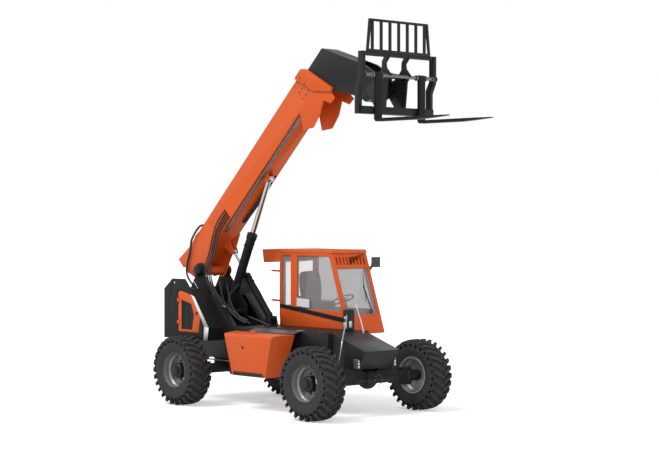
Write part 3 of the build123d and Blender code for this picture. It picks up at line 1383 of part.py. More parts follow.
def build_rear_window():
    """Rear window in its black frame, swung open on two brackets at the right rear post."""
    turn = radians(REAR_WINDOW_TURN)
    swing = Plane(
        origin=(CAB_REAR_X - REAR_WINDOW_STANDOFF, CAB_RIGHT_Y + 2 * CAB_WALL, 0),
        x_dir=(-sin(turn), cos(turn), 0),
        z_dir=(cos(turn), sin(turn), 0),
    )
    height = VISOR_LOW_Z - DOOR_GAP - REAR_WINDOW_LOW_Z
    middle = REAR_WINDOW_LOW_Z + height / 2
    with BuildPart() as window:
        with BuildSketch(swing):
            with Locations((REAR_WINDOW_WIDTH / 2, middle)):
                Rectangle(REAR_WINDOW_WIDTH, height)
        extrude(amount=REAR_WINDOW_FRAME / 2, both=True)
        for share in (0.25, 0.75):
            with Locations(
                (CAB_REAR_X - REAR_WINDOW_STANDOFF / 2 - SEAT_GAP, CAB_RIGHT_Y + 2 * CAB_WALL, CAB_BELT_Z + share * height)
            ):
                Box(REAR_WINDOW_STANDOFF, REAR_WINDOW_FRAME, HANDLE_HEIGHT)
    return window.part


def build_seat():
    """Operator's seat on its box."""
    with BuildPart() as seat:
        with Locations((SEAT_X, SEAT_Y, CAB_FLOOR_Z + CAB_FLOOR)):
            Box(SEAT_DEPTH * 0.7, SEAT_WIDTH * 0.7, SEAT_BOX, align=(Align.CENTER, Align.CENTER, Align.MIN))
        with Locations((SEAT_X, SEAT_Y, CAB_FLOOR_Z + CAB_FLOOR + SEAT_BOX)):
            Box(SEAT_DEPTH, SEAT_WIDTH, SEAT_CUSHION, align=(Align.CENTER, Align.CENTER, Align.MIN))
        with BuildSketch(at_side(SIDE_PLANE, SEAT_Y + SEAT_WIDTH / 2)):
            seat_top = CAB_FLOOR_Z + CAB_FLOOR + SEAT_BOX + SEAT_CUSHION
            back = SEAT_X - SEAT_DEPTH / 2
            Polygon(
                (back, seat_top - SEAT_CUSHION),
                (back + SEAT_CUSHION, seat_top - SEAT_CUSHION),
                (back + SEAT_CUSHION / 2, seat_top + SEAT_BACK),
                (back - SEAT_CUSHION / 3, seat_top + SEAT_BACK),
                align=None,
            )
        extrude(amount=SEAT_WIDTH)
    return seat.part


def build_controls():
    """Steering column with its wheel, dash and side console."""
    wheel = Plane(
        origin=(WHEEL_CENTRE[0], SEAT_Y, WHEEL_CENTRE[1]),
        x_dir=(0, 1, 0),
        z_dir=(-sin(radians(COLUMN_TILT)), 0, cos(radians(COLUMN_TILT))),
    )
    with BuildPart() as controls:
        with BuildSketch(wheel):
            Circle(WHEEL_HUB)
        extrude(amount=-COLUMN_LENGTH)
        with BuildSketch(wheel):
            Circle(WHEEL_RIM_RADIUS + WHEEL_RIM_SECTION)
            Circle(WHEEL_RIM_RADIUS - WHEEL_RIM_SECTION, mode=Mode.SUBTRACT)
            Rectangle(2 * WHEEL_RIM_RADIUS, WHEEL_RIM_SECTION)
            Rectangle(WHEEL_RIM_SECTION, 2 * WHEEL_RIM_RADIUS)
        extrude(amount=WHEEL_RIM_SECTION)
        with BuildSketch(at_side(SIDE_PLANE, CAB_LEFT_Y - CAB_WALL - DASH_SIDE_GAP)):
            Polygon(
                (DASH_X, CAB_FLOOR_Z + CAB_FLOOR),
                (DASH_X, SCREEN_LOW_Z - HANDLE_HEIGHT),
                (cab_front_x(SCREEN_LOW_Z) - 2 * CAB_WALL, SCREEN_LOW_Z - 2 * HANDLE_HEIGHT),
                (cab_front_x(SCREEN_LOW_Z) - 2 * CAB_WALL, CAB_FLOOR_Z + CAB_FLOOR),
                align=None,
            )
        extrude(amount=CAB_LEFT_Y - CAB_RIGHT_Y - 2 * CAB_WALL - 2 * DASH_SIDE_GAP)
        with Locations((SEAT_X + SEAT_DEPTH * 0.2, CONSOLE_Y, CAB_FLOOR_Z + CAB_FLOOR)):
            Box(SEAT_DEPTH, CONSOLE_WIDTH, CONSOLE_HEIGHT, align=(Align.CENTER, Align.CENTER, Align.MIN))
    return controls.part


def build_mirror():
    """Rear-view mirror on a short bracket at the left front post."""
    root = cab_front_x(MIRROR_ARM_Z) - CAB_WALL / 2
    with BuildPart() as mirror:
        with Locations((root, CAB_LEFT_Y + SEAT_GAP, MIRROR_ARM_Z)):
            Box(MIRROR_ARM, MIRROR_ARM, MIRROR_ARM * 3, align=(Align.CENTER, Align.MIN, Align.CENTER))
        with BuildSketch(Plane.YZ.offset(root)):
            Polygon(
                (CAB_LEFT_Y + MIRROR_ARM / 2, MIRROR_ARM_Z),
                (CAB_LEFT_Y + MIRROR_ARM * 1.5, MIRROR_ARM_Z - MIRROR_ARM / 2),
                (MIRROR_Y, MIRROR_Z),
                (MIRROR_Y - MIRROR_ARM, MIRROR_Z),
                align=None,
            )
        extrude(amount=MIRROR_ARM / 2, both=True)
        with Locations((root + MIRROR_FORWARD / 2, MIRROR_Y - MIRROR_ARM / 2, MIRROR_Z)):
            Box(MIRROR_FORWARD, MIRROR_ARM / 2, MIRROR_ARM / 2)
        with Locations((root + MIRROR_FORWARD, MIRROR_Y, MIRROR_Z)):
            Box(MIRROR_THICKNESS, MIRROR_WIDTH, MIRROR_HEIGHT)
    return mirror.part


def build_cover():
    """Rear cover: side plates, stepped hood and tail plate over the engine, open for the doors."""
    side = (
        (COVER_REAR_X, COVER_LOW_Z),
        (COVER_REAR_X, COVER_SHOULDER_Z),
        (COVER_REAR_X + COVER_CORNER, COVER_TOP_Z),
        (COVER_BREAK_X, COVER_TOP_Z),
        (STRIPE_TOP[0], STRIPE_TOP[1]),
        (STRIPE_KNEE[0], STRIPE_KNEE[1]),
        (STRIPE_FOOT[0], COVER_LOW_Z),
    )
    bay_low = COVER_LOW_Z - COVER_PLATE
    hood = (
        (COVER_REAR_X + COVER_PLATE, bay_low),
        (COVER_REAR_X + COVER_PLATE, HOOD_Z - COVER_CORNER),
        (COVER_REAR_X + COVER_CORNER, HOOD_Z - COVER_PLATE),
        (STRIPE_TOP[0] - COVER_CORNER, HOOD_Z - COVER_PLATE),
        (STRIPE_TOP[0] - COVER_PLATE, STRIPE_TOP[1]),
        (STRIPE_KNEE[0] - COVER_PLATE, STRIPE_KNEE[1]),
        (STRIPE_FOOT[0] - COVER_PLATE, bay_low),
    )
    inner = COVER_HALF_WIDTH - COVER_PLATE
    with BuildPart() as cover:
        with BuildSketch(SIDE_PLANE):
            Polygon(*side, align=None)
        extrude(amount=COVER_HALF_WIDTH, both=True)
        with BuildSketch(SIDE_PLANE):
            Polygon(*hood, align=None)
        extrude(amount=inner, both=True, mode=Mode.SUBTRACT)
        with BuildSketch(Plane.XY.offset(HOOD_Z)):
            with Locations(((COVER_REAR_X + STRIPE_TOP[0]) / 2, 0)):
                Rectangle(2 * (STRIPE_TOP[0] - COVER_REAR_X), 2 * inner)
        extrude(amount=COVER_TOP_Z - HOOD_Z + COVER_PLATE, mode=Mode.SUBTRACT)
        with BuildSketch(Plane.XY.offset(bay_low)):
            with Locations((TOWER_REAR_X - LUG_GAP + COVER_BAY / 2, 0)):
                Rectangle(COVER_BAY, 2 * COVER_SLOT_HALF)
        extrude(amount=COVER_TOP_Z, mode=Mode.SUBTRACT)
        with BuildSketch(Plane.XY.offset(bay_low)):
            with Locations((TOWER_REAR_X + COVER_BAY / 2, 0)):
                Rectangle(COVER_BAY, 2 * (FRAME_HALF_WIDTH + SEAT_GAP))
        extrude(amount=FRAME_SHOULDER_Z + SEAT_GAP - bay_low, mode=Mode.SUBTRACT)
        for face in (1, -1):
            with BuildSketch(at_side(SIDE_PLANE, face * COVER_HALF_WIDTH)):
                Polygon(*ENGINE_DOOR, align=None)
                offset(amount=DOOR_GAP, kind=Kind.INTERSECTION)
            extrude(amount=face * 2 * COVER_PLATE, mode=Mode.SUBTRACT)
            with BuildSketch(at_side(SIDE_PLANE, face * COVER_HALF_WIDTH)):
                with Locations((COVER_REAR_X + COVER_CORNER + LIFT_HOLE, COVER_TOP_Z - 1.5 * LIFT_HOLE)):
                    Circle(LIFT_HOLE / 2)
            extrude(amount=face * 2 * COVER_PLATE, mode=Mode.SUBTRACT)
            for z in HINGE_ZS:
                add_hinge_post(HINGE_X, face * COVER_HALF_WIDTH, face, z)
    return cover.part


def build_engine_door():
    """Right engine door: an orange frame round a slatted grille."""
    with BuildPart() as door:
        with BuildSketch(at_side(SIDE_PLANE, -COVER_HALF_WIDTH)):
            Polygon(*ENGINE_DOOR, align=None)
            Polygon(*DOOR_GRILLE, align=None, mode=Mode.SUBTRACT)
        extrude(amount=-COVER_PLATE)
        grille_rear = min(x for x, _ in DOOR_GRILLE)
        grille_front = max(x for x, _ in DOOR_GRILLE)
        grille_low = min(z for _, z in DOOR_GRILLE)
        grille_top = max(z for _, z in DOOR_GRILLE)
        with BuildSketch(at_side(SIDE_PLANE, -COVER_HALF_WIDTH + COVER_PLATE / 2)):
            with Locations(((grille_rear + grille_front) / 2, (grille_low + grille_top) / 2)):
                with GridLocations(1, GRILLE_PITCH, 1, int((grille_top - grille_low) / GRILLE_PITCH)):
                    Rectangle(grille_front - grille_rear + GRILLE_SLAT, GRILLE_SLAT)
                with GridLocations(GRILLE_PITCH * 4, 1, 3, 1):
                    Rectangle(GRILLE_SLAT, grille_top - grille_low + GRILLE_SLAT)
            Polygon(*ENGINE_DOOR, align=None, mode=Mode.INTERSECT)
        extrude(amount=-COVER_PLATE / 2)
        for z in HINGE_ZS:
            add_hinge_leaf(HINGE_X, -COVER_HALF_WIDTH, -1, z)
    return door.part


def build_tank():
    """Right-hand tank: a tapered box with a rounded upper edge and a filler recess."""
    with BuildPart() as tank:
        with BuildSketch(Plane.XY.offset(TANK_LOW_Z)):
            Polygon(
                (MID_X - 620, -TANK_INNER_Y),
                (MID_X - 470, -TANK_OUTER_Y + TANK_TAPER),
                (MID_X + 290, -TANK_OUTER_Y + TANK_TAPER),
                (MID_X + 300, -TANK_INNER_Y),
                align=None,
            )
        with BuildSketch(Plane.XY.offset(TANK_TOP_Z)):
            Polygon(
                (MID_X - 830, -TANK_INNER_Y),
                (MID_X - 545, -TANK_OUTER_Y),
                (MID_X + 555, -TANK_OUTER_Y),
                (MID_X + 555, -TANK_INNER_Y),
                align=None,
            )
        loft(ruled=True)
        fillet(tank.edges().group_by(Axis.Z)[-1].sort_by(Axis.Y)[0], TANK_ROUND)
        with BuildSketch(Plane.XZ.offset(TANK_OUTER_Y)):
            with Locations(TANK_RECESS):
                Circle(TANK_RECESS_RADIUS)
        extrude(amount=-TANK_TAPER, mode=Mode.SUBTRACT)
        with Locations((MID_X - TANK_BRACKET, -FRAME_HALF_WIDTH - SEAT_GAP, (TANK_LOW_Z + TANK_TOP_Z) / 2)):
            Box(
                TANK_BRACKET,
                TANK_INNER_Y - FRAME_HALF_WIDTH + TANK_ROUND,
                TANK_BRACKET,
                align=(Align.CENTER, Align.MAX, Align.CENTER),
            )
    return tank.part


def build_engine():
    """Engine as one plain block between the tower plates."""
    with BuildPart() as engine:
        with Locations((ENGINE_X, 0, FRAME_ARCH_Z + FRAME_PLATE)):
            Box(ENGINE_LENGTH, ENGINE_WIDTH, ENGINE_HEIGHT, align=(Align.CENTER, Align.CENTER, Align.MIN))
    return engine.part


def build_driveline():
    """Transmission under the frame with a propeller shaft to each axle."""
    low = FRAME_BELLY_Z + FRAME_PLATE
    ends = (REAR_AXLE_X + DIFFERENTIAL_RADIUS, FRONT_AXLE_X - DIFFERENTIAL_RADIUS)
    with BuildPart() as line:
        with Locations((MID_X + GEARBOX_SHIFT, 0, low)):
            Box(GEARBOX_LENGTH, GEARBOX_WIDTH, GEARBOX_HEIGHT, align=(Align.CENTER, Align.CENTER, Align.MIN))
        with BuildSketch(Plane.YZ.offset(ends[0] - SHAFT_SEAT)):
            with Locations((0, AXLE_Z)):
                Circle(PROPSHAFT_RADIUS)
        extrude(amount=ends[1] - ends[0] + 2 * SHAFT_SEAT)
    return line.part


def build_lamps():
    """Two upright work lamps on the sides of the nose."""
    with BuildPart() as lamps:
        for side in (1, -1):
            with BuildSketch(Plane.YZ.offset(FRAME_NOSE_X - LAMP_SETBACK)):
                with Locations((side * (FRAME_NOSE_HALF + LAMP_WIDTH / 2 + SEAT_GAP), LAMP_Z)):
                    SlotOverall(LAMP_HEIGHT, LAMP_WIDTH, rotation=90)
            extrude(amount=LAMP_DEPTH)
    return lamps.part


def build_valve_post():
    """Upright valve post at the cab's right front corner, rounded at its top."""
    with BuildPart() as post:
        with Locations((POST_X, POST_Y, FRAME_DECK_Z)):
            Box(POST_LENGTH, POST_WIDTH, POST_HEIGHT, align=(Align.CENTER, Align.CENTER, Align.MIN))
        fillet(post.edges().group_by(Axis.Z)[-1].filter_by(Axis.Y), POST_LENGTH / 3)
    return post.part


def place(part, x, y, z):
    """Return a piece moved from its own centre to its place."""
    return part.moved(Location((x, y, z)))


def main():
    """Build every piece and write it."""
    os.makedirs("parts", exist_ok=True)
    tyre = build_tyre()
    rim = build_rim()
    knuckle = build_knuckle()
    axle = build_axle()
    for end, axle_x in (("front", FRONT_AXLE_X), ("rear", REAR_AXLE_X)):
        own_axle = axle if end == "front" else axle.rotate(Axis.Z, 180)
        save(place(own_axle, axle_x, 0, AXLE_Z), f"{end}_axle")
        own_knuckle = knuckle if end == "rear" else knuckle.mirror(Plane.YZ)
        own_tyre = tyre.mirror(Plane.YZ)
        for side, sign in (("right", -1), ("left", 1)):
            arm = own_knuckle if sign < 0 else own_knuckle.mirror(Plane.XZ)
            save(place(arm, axle_x, sign * KINGPIN_Y, AXLE_Z), f"{end}_{side}_knuckle")
            wheel = rim if sign < 0 else rim.mirror(Plane.XZ)
            save(place(wheel, axle_x, sign * WHEEL_Y, AXLE_Z), f"{end}_{side}_rim")
            rubber = own_tyre if sign < 0 else own_tyre.mirror(Plane.XZ)
            save(place(rubber, axle_x, sign * WHEEL_Y, AXLE_Z), f"{end}_{side}_tyre")
    save(build_main_frame(), "main_frame")
    save(build_tower(), "boom_tower")
    save(build_engine(), "engine")
    save(build_driveline(), "driveline")
    save(build_cover(), "rear_cover")
    engine_door = build_engine_door()
    save(engine_door, "engine_door_right")
    save(mirrored(engine_door), "engine_door_left")
    save(build_tank(), "tank")
    save(build_lamps(), "lamps")
    save(build_valve_post(), "valve_post")
    save(build_cab_base(), "cab_base")
    save(build_cab_side(), "cab_side")
    save(build_cab_front(), "cab_front")
    save(build_cab_rear(), "cab_rear")
    save(build_cab_roof(), "cab_roof")
    save(build_cab_glass(), "cab_glass")
    save(build_rear_window(), "rear_window")
    save(build_cab_door(), "cab_door")
    save(build_door_glass(), "door_glass")
    save(build_seat(), "seat")
    save(build_controls(), "controls")
    save(build_mirror(), "mirror")
    save(build_boom_base(), "boom_base")
    save(build_collar(), "boom_collar")
    save(build_boom_lines(), "boom_lines")
    save(build_boom_inner(), "boom_inner")
    save(build_carriage(), "carriage")
    save(build_backrest(), "backrest")
    save(build_forks(), "forks")
    lift_eye = on_boom(LIFT_EYE_ALONG, LIFT_EYE_LOW)
    slave_eye = on_boom(SLAVE_EYE_ALONG, SLAVE_EYE_LOW)
    for name, foot, eye, y, barrel, rod in (
        ("lift", LIFT_FOOT, (lift_eye[0], lift_eye[2]), LIFT_Y, LIFT_BARREL, LIFT_ROD),
        ("slave", SLAVE_FOOT, (slave_eye[0], slave_eye[2]), SLAVE_Y, SLAVE_BARREL, SLAVE_ROD),
        ("tilt", TILT_BASE, TILT_EYE, 0.0, TILT_BARREL, TILT_ROD),
    ):
        save(make_barrel(foot, eye, y, *barrel), f"{name}_barrel")
        save(make_rod(foot, eye, y, *rod), f"{name}_rod")


main()
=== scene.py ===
"""Visual model of a telehandler: finishes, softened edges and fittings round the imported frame."""
import json
import logging
import math
from collections.abc import Callable, Iterable, Sequence
from dataclasses import dataclass
from enum import Enum

import bmesh
import bpy
from bmesh.types import BMesh, BMFace, BMVert
from bpy.types import ID, Material, Node, NodeSocket, NodeTree, Object
from mathutils import Matrix, Vector


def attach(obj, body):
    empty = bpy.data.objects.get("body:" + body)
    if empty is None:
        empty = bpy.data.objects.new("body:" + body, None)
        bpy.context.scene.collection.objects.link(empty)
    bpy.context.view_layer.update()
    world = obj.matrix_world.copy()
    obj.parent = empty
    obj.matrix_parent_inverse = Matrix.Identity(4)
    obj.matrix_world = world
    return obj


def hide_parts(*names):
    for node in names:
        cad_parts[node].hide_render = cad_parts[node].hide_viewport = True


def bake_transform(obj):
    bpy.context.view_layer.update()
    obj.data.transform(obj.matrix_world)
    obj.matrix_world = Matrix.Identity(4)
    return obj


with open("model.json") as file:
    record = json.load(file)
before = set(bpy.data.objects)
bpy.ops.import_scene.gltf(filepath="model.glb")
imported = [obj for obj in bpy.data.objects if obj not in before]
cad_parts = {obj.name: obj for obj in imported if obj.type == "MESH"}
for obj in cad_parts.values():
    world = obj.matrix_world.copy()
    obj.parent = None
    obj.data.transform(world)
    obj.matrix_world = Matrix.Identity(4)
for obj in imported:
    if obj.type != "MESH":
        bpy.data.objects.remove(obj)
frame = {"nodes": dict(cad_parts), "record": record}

LOG = logging.getLogger("telehandler")
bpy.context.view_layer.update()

Pair = tuple[float, float]
Triple = tuple[float, float, float]
Profile = tuple[Pair, ...]
Route = tuple[Triple, ...]
Span = tuple[Triple, Triple]
Point = Triple | Vector
Feed = NodeSocket | float | tuple[float, ...]

# Driving dimensions, in metres and radians
FRONT_X = 1.0981
REAR_X = -1.9119
PIVOT_X = -2.5129
PIVOT_Z = 2.056
BOOM_ANGLE = math.radians(44.6)
SIDES = (-1, 1)
ORIGIN = (0, 0, 0)
UP = (0, 0, 1)
# Nearer corners are joined, shorter edges are dropped and flatter seams are dissolved
WELD = 0.00002
SHORT_EDGE = 0.00005
FLAT_ANGLE = math.radians(0.6)
# Edges sharper than this are rounded
SHARP_ANGLE = math.radians(32.0)


class Body(str, Enum):
    """Moving bodies that fittings ride on."""

    CHASSIS = "chassis"
    BOOM = "boom"
    CARRIAGE = "fork_carriage"
    RIGHT_ENGINE_DOOR = "right_engine_door"
    LEFT_ENGINE_DOOR = "left_engine_door"
    LIFT_BARREL = "lift_barrel"
    LEVEL_BARREL = "levelling_barrel"

    def __str__(self) -> str:
        """Return the body's own name."""
        return self.value


class Wiring:
    """Adds nodes to one tree and feeds them."""

    def __init__(self, tree: NodeTree) -> None:
        """Keep the tree that is wired."""
        self.tree = tree

    def feed(self, node: Node, values: dict[str | int, Feed]) -> None:
        """Join sockets to a node's inputs, or set plain values there.

        Args:
            node: the node that is fed.
            values: what each input gets, by its label or number.
        """
        for label, value in values.items():
            if isinstance(value, NodeSocket):
                self.tree.links.new(value, node.inputs[label])
            else:
                node.inputs[label].default_value = value

    def add(self, kind: str, values: dict[str | int, Feed] | None = None) -> Node:
        """Add a shader node and feed it.

        Args:
            kind: its type, without ShaderNode.
            values: what its inputs get.

        Returns:
            The node.
        """
        node = self.tree.nodes.new(f"ShaderNode{kind}")
        self.feed(node, values or {})
        return node

    def math(self, operation: str, *values: Feed, clamp: bool = False) -> NodeSocket:
        """Work out one value from others.

        Args:
            operation: what the Math node does.
            values: its inputs, in order.
            clamp: whether the result is kept between 0 and 1.

        Returns:
            The result.
        """
        node = self.add("Math", dict(enumerate(values)))
        node.operation = operation
        node.use_clamp = clamp
        return node.outputs["Value"]

    def seen(self) -> NodeSocket:
        """Mark what the camera sees straight, in a mirror or through glass.

        Returns:
            A mask of 0 or 1, for the world and the floor only.
        """
        rays = self.add("LightPath").outputs
        mirrored = self.math("MAXIMUM", rays["Is Glossy Ray"], rays["Is Transmission Ray"])
        return self.math("MAXIMUM", rays["Is Camera Ray"], mirrored)


def build_dust_group() -> NodeTree:
    """Dust and wear: mixes a dust tint over a colour, more of it low down.

    Returns:
        The group, with Color and Roughness outputs and a Height for a Bump node.
    """
    group = bpy.data.node_groups.new("surface_dust", "ShaderNodeTree")
    for way, kind, labels in (
        ("INPUT", "Color", ("Color", "Dust Color")),
        ("INPUT", "Float", ("Amount", "Scale", "Grain", "Roughness")),
        ("OUTPUT", "Color", ("Color",)), ("OUTPUT", "Float", ("Roughness", "Height")),
    ):
        for label in labels:
            group.interface.new_socket(label, in_out=way, socket_type=f"NodeSocket{kind}")
    first = group.nodes.new("NodeGroupInput").outputs
    last = group.nodes.new("NodeGroupOutput")
    wiring = Wiring(group)
    place = wiring.add("TexCoord").outputs["Object"]
    cloud = wiring.add("TexNoise", {
        "Vector": place, "Scale": first["Scale"], "Detail": 5.0, "Roughness": 0.62,
    })
    grain = wiring.add("TexNoise", {"Vector": place, "Scale": first["Grain"], "Detail": 2.0})
    height = wiring.add("SeparateXYZ", {"Vector": place}).outputs["Z"]
    low = wiring.add("MapRange", {"Value": height, "From Max": 1.5, "To Min": 1.6, "To Max": 0.75})
    mask = wiring.add("MapRange", {"Value": cloud.outputs["Fac"], "From Min": 0.42, "From Max": 0.72})
    share = wiring.math("MULTIPLY", mask.outputs["Result"], low.outputs["Result"])
    amount = wiring.math("MULTIPLY", share, first["Amount"], clamp=True)
    mix = wiring.add("Mix")
    mix.data_type = "RGBA"
    wiring.feed(mix, {"Factor": amount, 6: first["Color"], 7: first["Dust Color"]})
    rough = wiring.math("MULTIPLY_ADD", amount, 0.45, first["Roughness"], clamp=True)
    wiring.feed(last, {"Color": mix.outputs[2], "Roughness": rough, "Height": grain.outputs["Fac"]})
    return group


DUST = build_dust_group()


@dataclass(frozen=True)
class Finish:
    """A procedural finish: colour, dust, gloss and fine bump."""

    name: str
    slot: str
    color: Triple
    rough: float = 0.4
    metal: float = 0.0
    coat: float = 0.0
    dust: float = 0.12
    dust_color: Triple = (0.16, 0.14, 0.12)
    scale: float = 5.0
    grain: float = 500.0
    bump: float = 0.05
    depth: float = 0.0006
    alpha: float = 1.0
    weave: float = 0.0
    gloss: float = 0.5

    def build(self) -> Material:
        """Make the material, or return it where it has been made.

        Returns:
            The material with its nodes.
        """
        made = bpy.data.materials.get(self.name)
        if made is not None:
            return made
        made = bpy.data.materials.new(self.name)
        made.use_nodes = True
        wiring = Wiring(made.node_tree)
        group = wiring.add("Group")
        group.node_tree = DUST
        wiring.feed(group, {
            "Color": (*self.color, 1.0), "Dust Color": (*self.dust_color, 1.0), "Amount": self.dust,
            "Scale": self.scale, "Grain": self.grain, "Roughness": self.rough,
        })
        height = self.add_weave(wiring) if self.weave else group.outputs["Height"]
        bump = wiring.add("Bump", {"Strength": self.bump, "Distance": self.depth, "Height": height})
        wiring.feed(made.node_tree.nodes["Principled BSDF"], {
            "Base Color": group.outputs["Color"], "Roughness": group.outputs["Roughness"],
            "Metallic": self.metal, "Coat Weight": self.coat, "Coat Roughness": 0.12,
            "Specular IOR Level": self.gloss, "Alpha": self.alpha, "Normal": bump.outputs["Normal"],
        })
        return made

    def add_weave(self, wiring: Wiring) -> NodeSocket:
        """Add crossed threads for cloth.

        Args:
            wiring: the material's node tree.

        Returns:
            The height of the weave.
        """
        place = wiring.add("TexCoord").outputs["Object"]
        heights = []
        for direction in ("X", "Y"):
            wave = wiring.add("TexWave", {"Vector": place, "Scale": self.weave, "Distortion": 0.6})
            wave.bands_direction = direction
            heights.append(wave.outputs["Fac"])
        return wiring.math("MAXIMUM", *heights)


ORANGE = Finish("orange_enamel", "orange_paint", (0.61, 0.092, 0.014), 0.38, coat=0.04, dust=0.08,
                dust_color=(0.42, 0.1, 0.03), scale=3.0, bump=0.03, gloss=0.18)
BLACK = Finish("black_enamel", "black_paint", (0.009, 0.009, 0.0092), 0.4, coat=0.02, dust=0.06,
               dust_color=(0.034, 0.033, 0.031), scale=4.0, bump=0.04, gloss=0.22)
BLACK_FLAT = Finish("black_primer", "black_paint", (0.008, 0.008, 0.0082), 0.55, dust=0.08,
                    dust_color=(0.03, 0.029, 0.028), bump=0.1, gloss=0.16)
WHITE = Finish("white_stripe_film", "rim_grey", (0.66, 0.67, 0.68), 0.35, dust=0.08,
               dust_color=(0.4, 0.39, 0.37))
RUBBER = Finish("tyre_rubber", "tyre", (0.028, 0.028, 0.029), 0.72, dust=0.3,
                dust_color=(0.058, 0.054, 0.05), scale=7.0, grain=260.0, bump=0.22, depth=0.0012, gloss=0.2)
RIM = Finish("rim_silver", "rim_grey", (0.235, 0.235, 0.24), 0.36, metal=0.35, coat=0.1, dust=0.18,
             dust_color=(0.1, 0.098, 0.094), scale=9.0)
CHROME = Finish("chromed_rod", "chrome_rod", (0.42, 0.42, 0.43), 0.16, metal=1.0, dust=0.06, scale=12.0,
                bump=0.02)
STEEL = Finish("worn_steel", "steel", (0.17, 0.17, 0.175), 0.38, metal=0.9, dust=0.2,
               dust_color=(0.07, 0.065, 0.06), scale=14.0, bump=0.12)
CAST = Finish("cast_black", "cast_metal", (0.012, 0.012, 0.013), 0.62, dust=0.3,
              dust_color=(0.036, 0.033, 0.031), scale=11.0, grain=220.0, bump=0.4, depth=0.0015, gloss=0.2)
# Window glass: the alpha lets light through the pane, and its grey colour is a painted reflection, a pale
# grey film over each pane that stands in for what the glass mirrors.
GLASS = Finish("window_glass", "glass", (0.36, 0.352, 0.354), 0.05, dust=0.04, dust_color=(0.4, 0.4, 0.4),
               bump=0.0, alpha=0.36)
PLASTIC = Finish("black_plastic", "black_plastic", (0.009, 0.009, 0.01), 0.5, dust=0.08,
                 dust_color=(0.034, 0.034, 0.034), grain=900.0, bump=0.18, gloss=0.2)
LENS = Finish("lamp_lens", "lamp", (0.5, 0.5, 0.52), 0.12, metal=0.3, coat=0.6, dust=0.05, grain=90.0,
              bump=0.3)
CLOTH = Finish("seat_cloth", "seat_fabric", (0.02, 0.02, 0.022), 0.85, dust=0.1, weave=160.0, bump=0.5,
               depth=0.001)
HOSE = Finish("hose_rubber", "black_plastic", (0.009, 0.009, 0.009), 0.42, grain=400.0, bump=0.25, gloss=0.35)
BRIGHT = Finish("bright_steel", "steel", (0.36, 0.36, 0.365), 0.34, metal=0.6, scale=14.0, bump=0.08)
GRILLE = Finish("dark_grille", "black_paint", (0.02, 0.02, 0.021), 0.6, dust=0.14,
                dust_color=(0.045, 0.043, 0.04), scale=8.0, bump=0.1, gloss=0.2)
DECK = Finish("deck_plate", "black_paint", (0.03, 0.019, 0.018), 0.42, coat=0.15, dust=0.2,
              dust_color=(0.075, 0.06, 0.055), bump=0.1)

# Nodes, width of their rounded edges, finish and steps across an edge
Skins = tuple[tuple[str, float, Finish, int], ...]


def add_object(name: str, data: ID) -> Object:
    """Put data into the scene as an object at the origin.

    Args:
        name: name of the object.
        data: its mesh, curve, lamp or camera.

    Returns:
        The object.
    """
    made = bpy.data.objects.new(name, data)
    bpy.context.scene.collection.objects.link(made)
    return made


def link_mesh(bm: BMesh, name: str, finishes: Sequence[Finish], bevel: float = 0.0,
              segments: int = 2) -> Object:
    """Turn a bmesh into a smooth object that carries its finishes.

    Args:
        bm: the shape; it is freed.
        name: name of the piece.
        finishes: one finish per material index.
        bevel: width of its rounded edges, in metres, or 0.
        segments: steps across a rounded edge.

    Returns:
        The new object, at the origin.
    """
    mesh = bpy.data.meshes.new(name)
    bm.to_mesh(mesh)
    bm.free()
    mesh.shade_smooth()
    for finish in finishes:
        mesh.materials.append(finish.build())
    piece = add_object(name, mesh)
    if bevel:
        mod = piece.modifiers.new("edges", "BEVEL")
        mod.width = bevel
        mod.segments = segments
        mod.limit_method = "ANGLE"
        mod.angle_limit = SHARP_ANGLE
        mod.use_clamp_overlap = True
        mod.harden_normals = True
    return piece


def finish_piece(piece: Object, body: str, slot: str) -> Object:
    """Let a finished piece ride on its body.

    Args:
        piece: the piece.
        body: body that it rides on.
        slot: its material slot; it is not used.

    Returns:
        The same piece.
    """
    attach(piece, body)
    LOG.info("%s rides on %s", piece.name, body)
    return piece


def soften(node: str, width: float, finishes: Sequence[Finish], segments: int = 2,
           pick: Callable[[BMFace], int] | None = None) -> None:
    """Replace a node by a merged copy with rounded edges and its own finishes.

    Args:
        node: name of the node.
        width: width of the rounded edges, in metres.
        finishes: finishes of the copy.
        segments: steps across each rounded edge.
        pick: gives the material index of a face, where there is more than one.
    """
    record = frame["record"]
    own_slot = next(s["material_slot"] for s in record["subparts"] if s["node"] == node)
    bm = bmesh.new()
    bm.from_mesh(frame["nodes"][node].data)
    bmesh.ops.remove_doubles(bm, verts=bm.verts, dist=WELD)
    bmesh.ops.dissolve_degenerate(bm, dist=SHORT_EDGE, edges=bm.edges)
    bmesh.ops.dissolve_limit(bm, angle_limit=FLAT_ANGLE, verts=bm.verts, edges=bm.edges)
    for face in bm.faces:
        face.material_index = pick(face) if pick else 0
    piece = link_mesh(bm, f"{node}_skin", finishes, width, segments)
    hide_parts(node)
    body = next(b for b, nodes in record["behaviour"]["bodies"].items() if node in nodes)
    finish_piece(piece, body, own_slot)


def soften_all(skins: Skins) -> None:
    """Soften listed nodes that wear one finish each.

    Args:
        skins: the nodes, with how they are dressed.
    """
    for nodes, width, finish, segments in skins:
        for node in nodes.split():
            soften(node, width, (finish,), segments)


def faces_of(verts: Iterable[BMVert]) -> list[BMFace]:
    """Return the faces that meet some vertices, in the same order each run."""
    return list(dict.fromkeys(f for v in verts for f in v.link_faces))


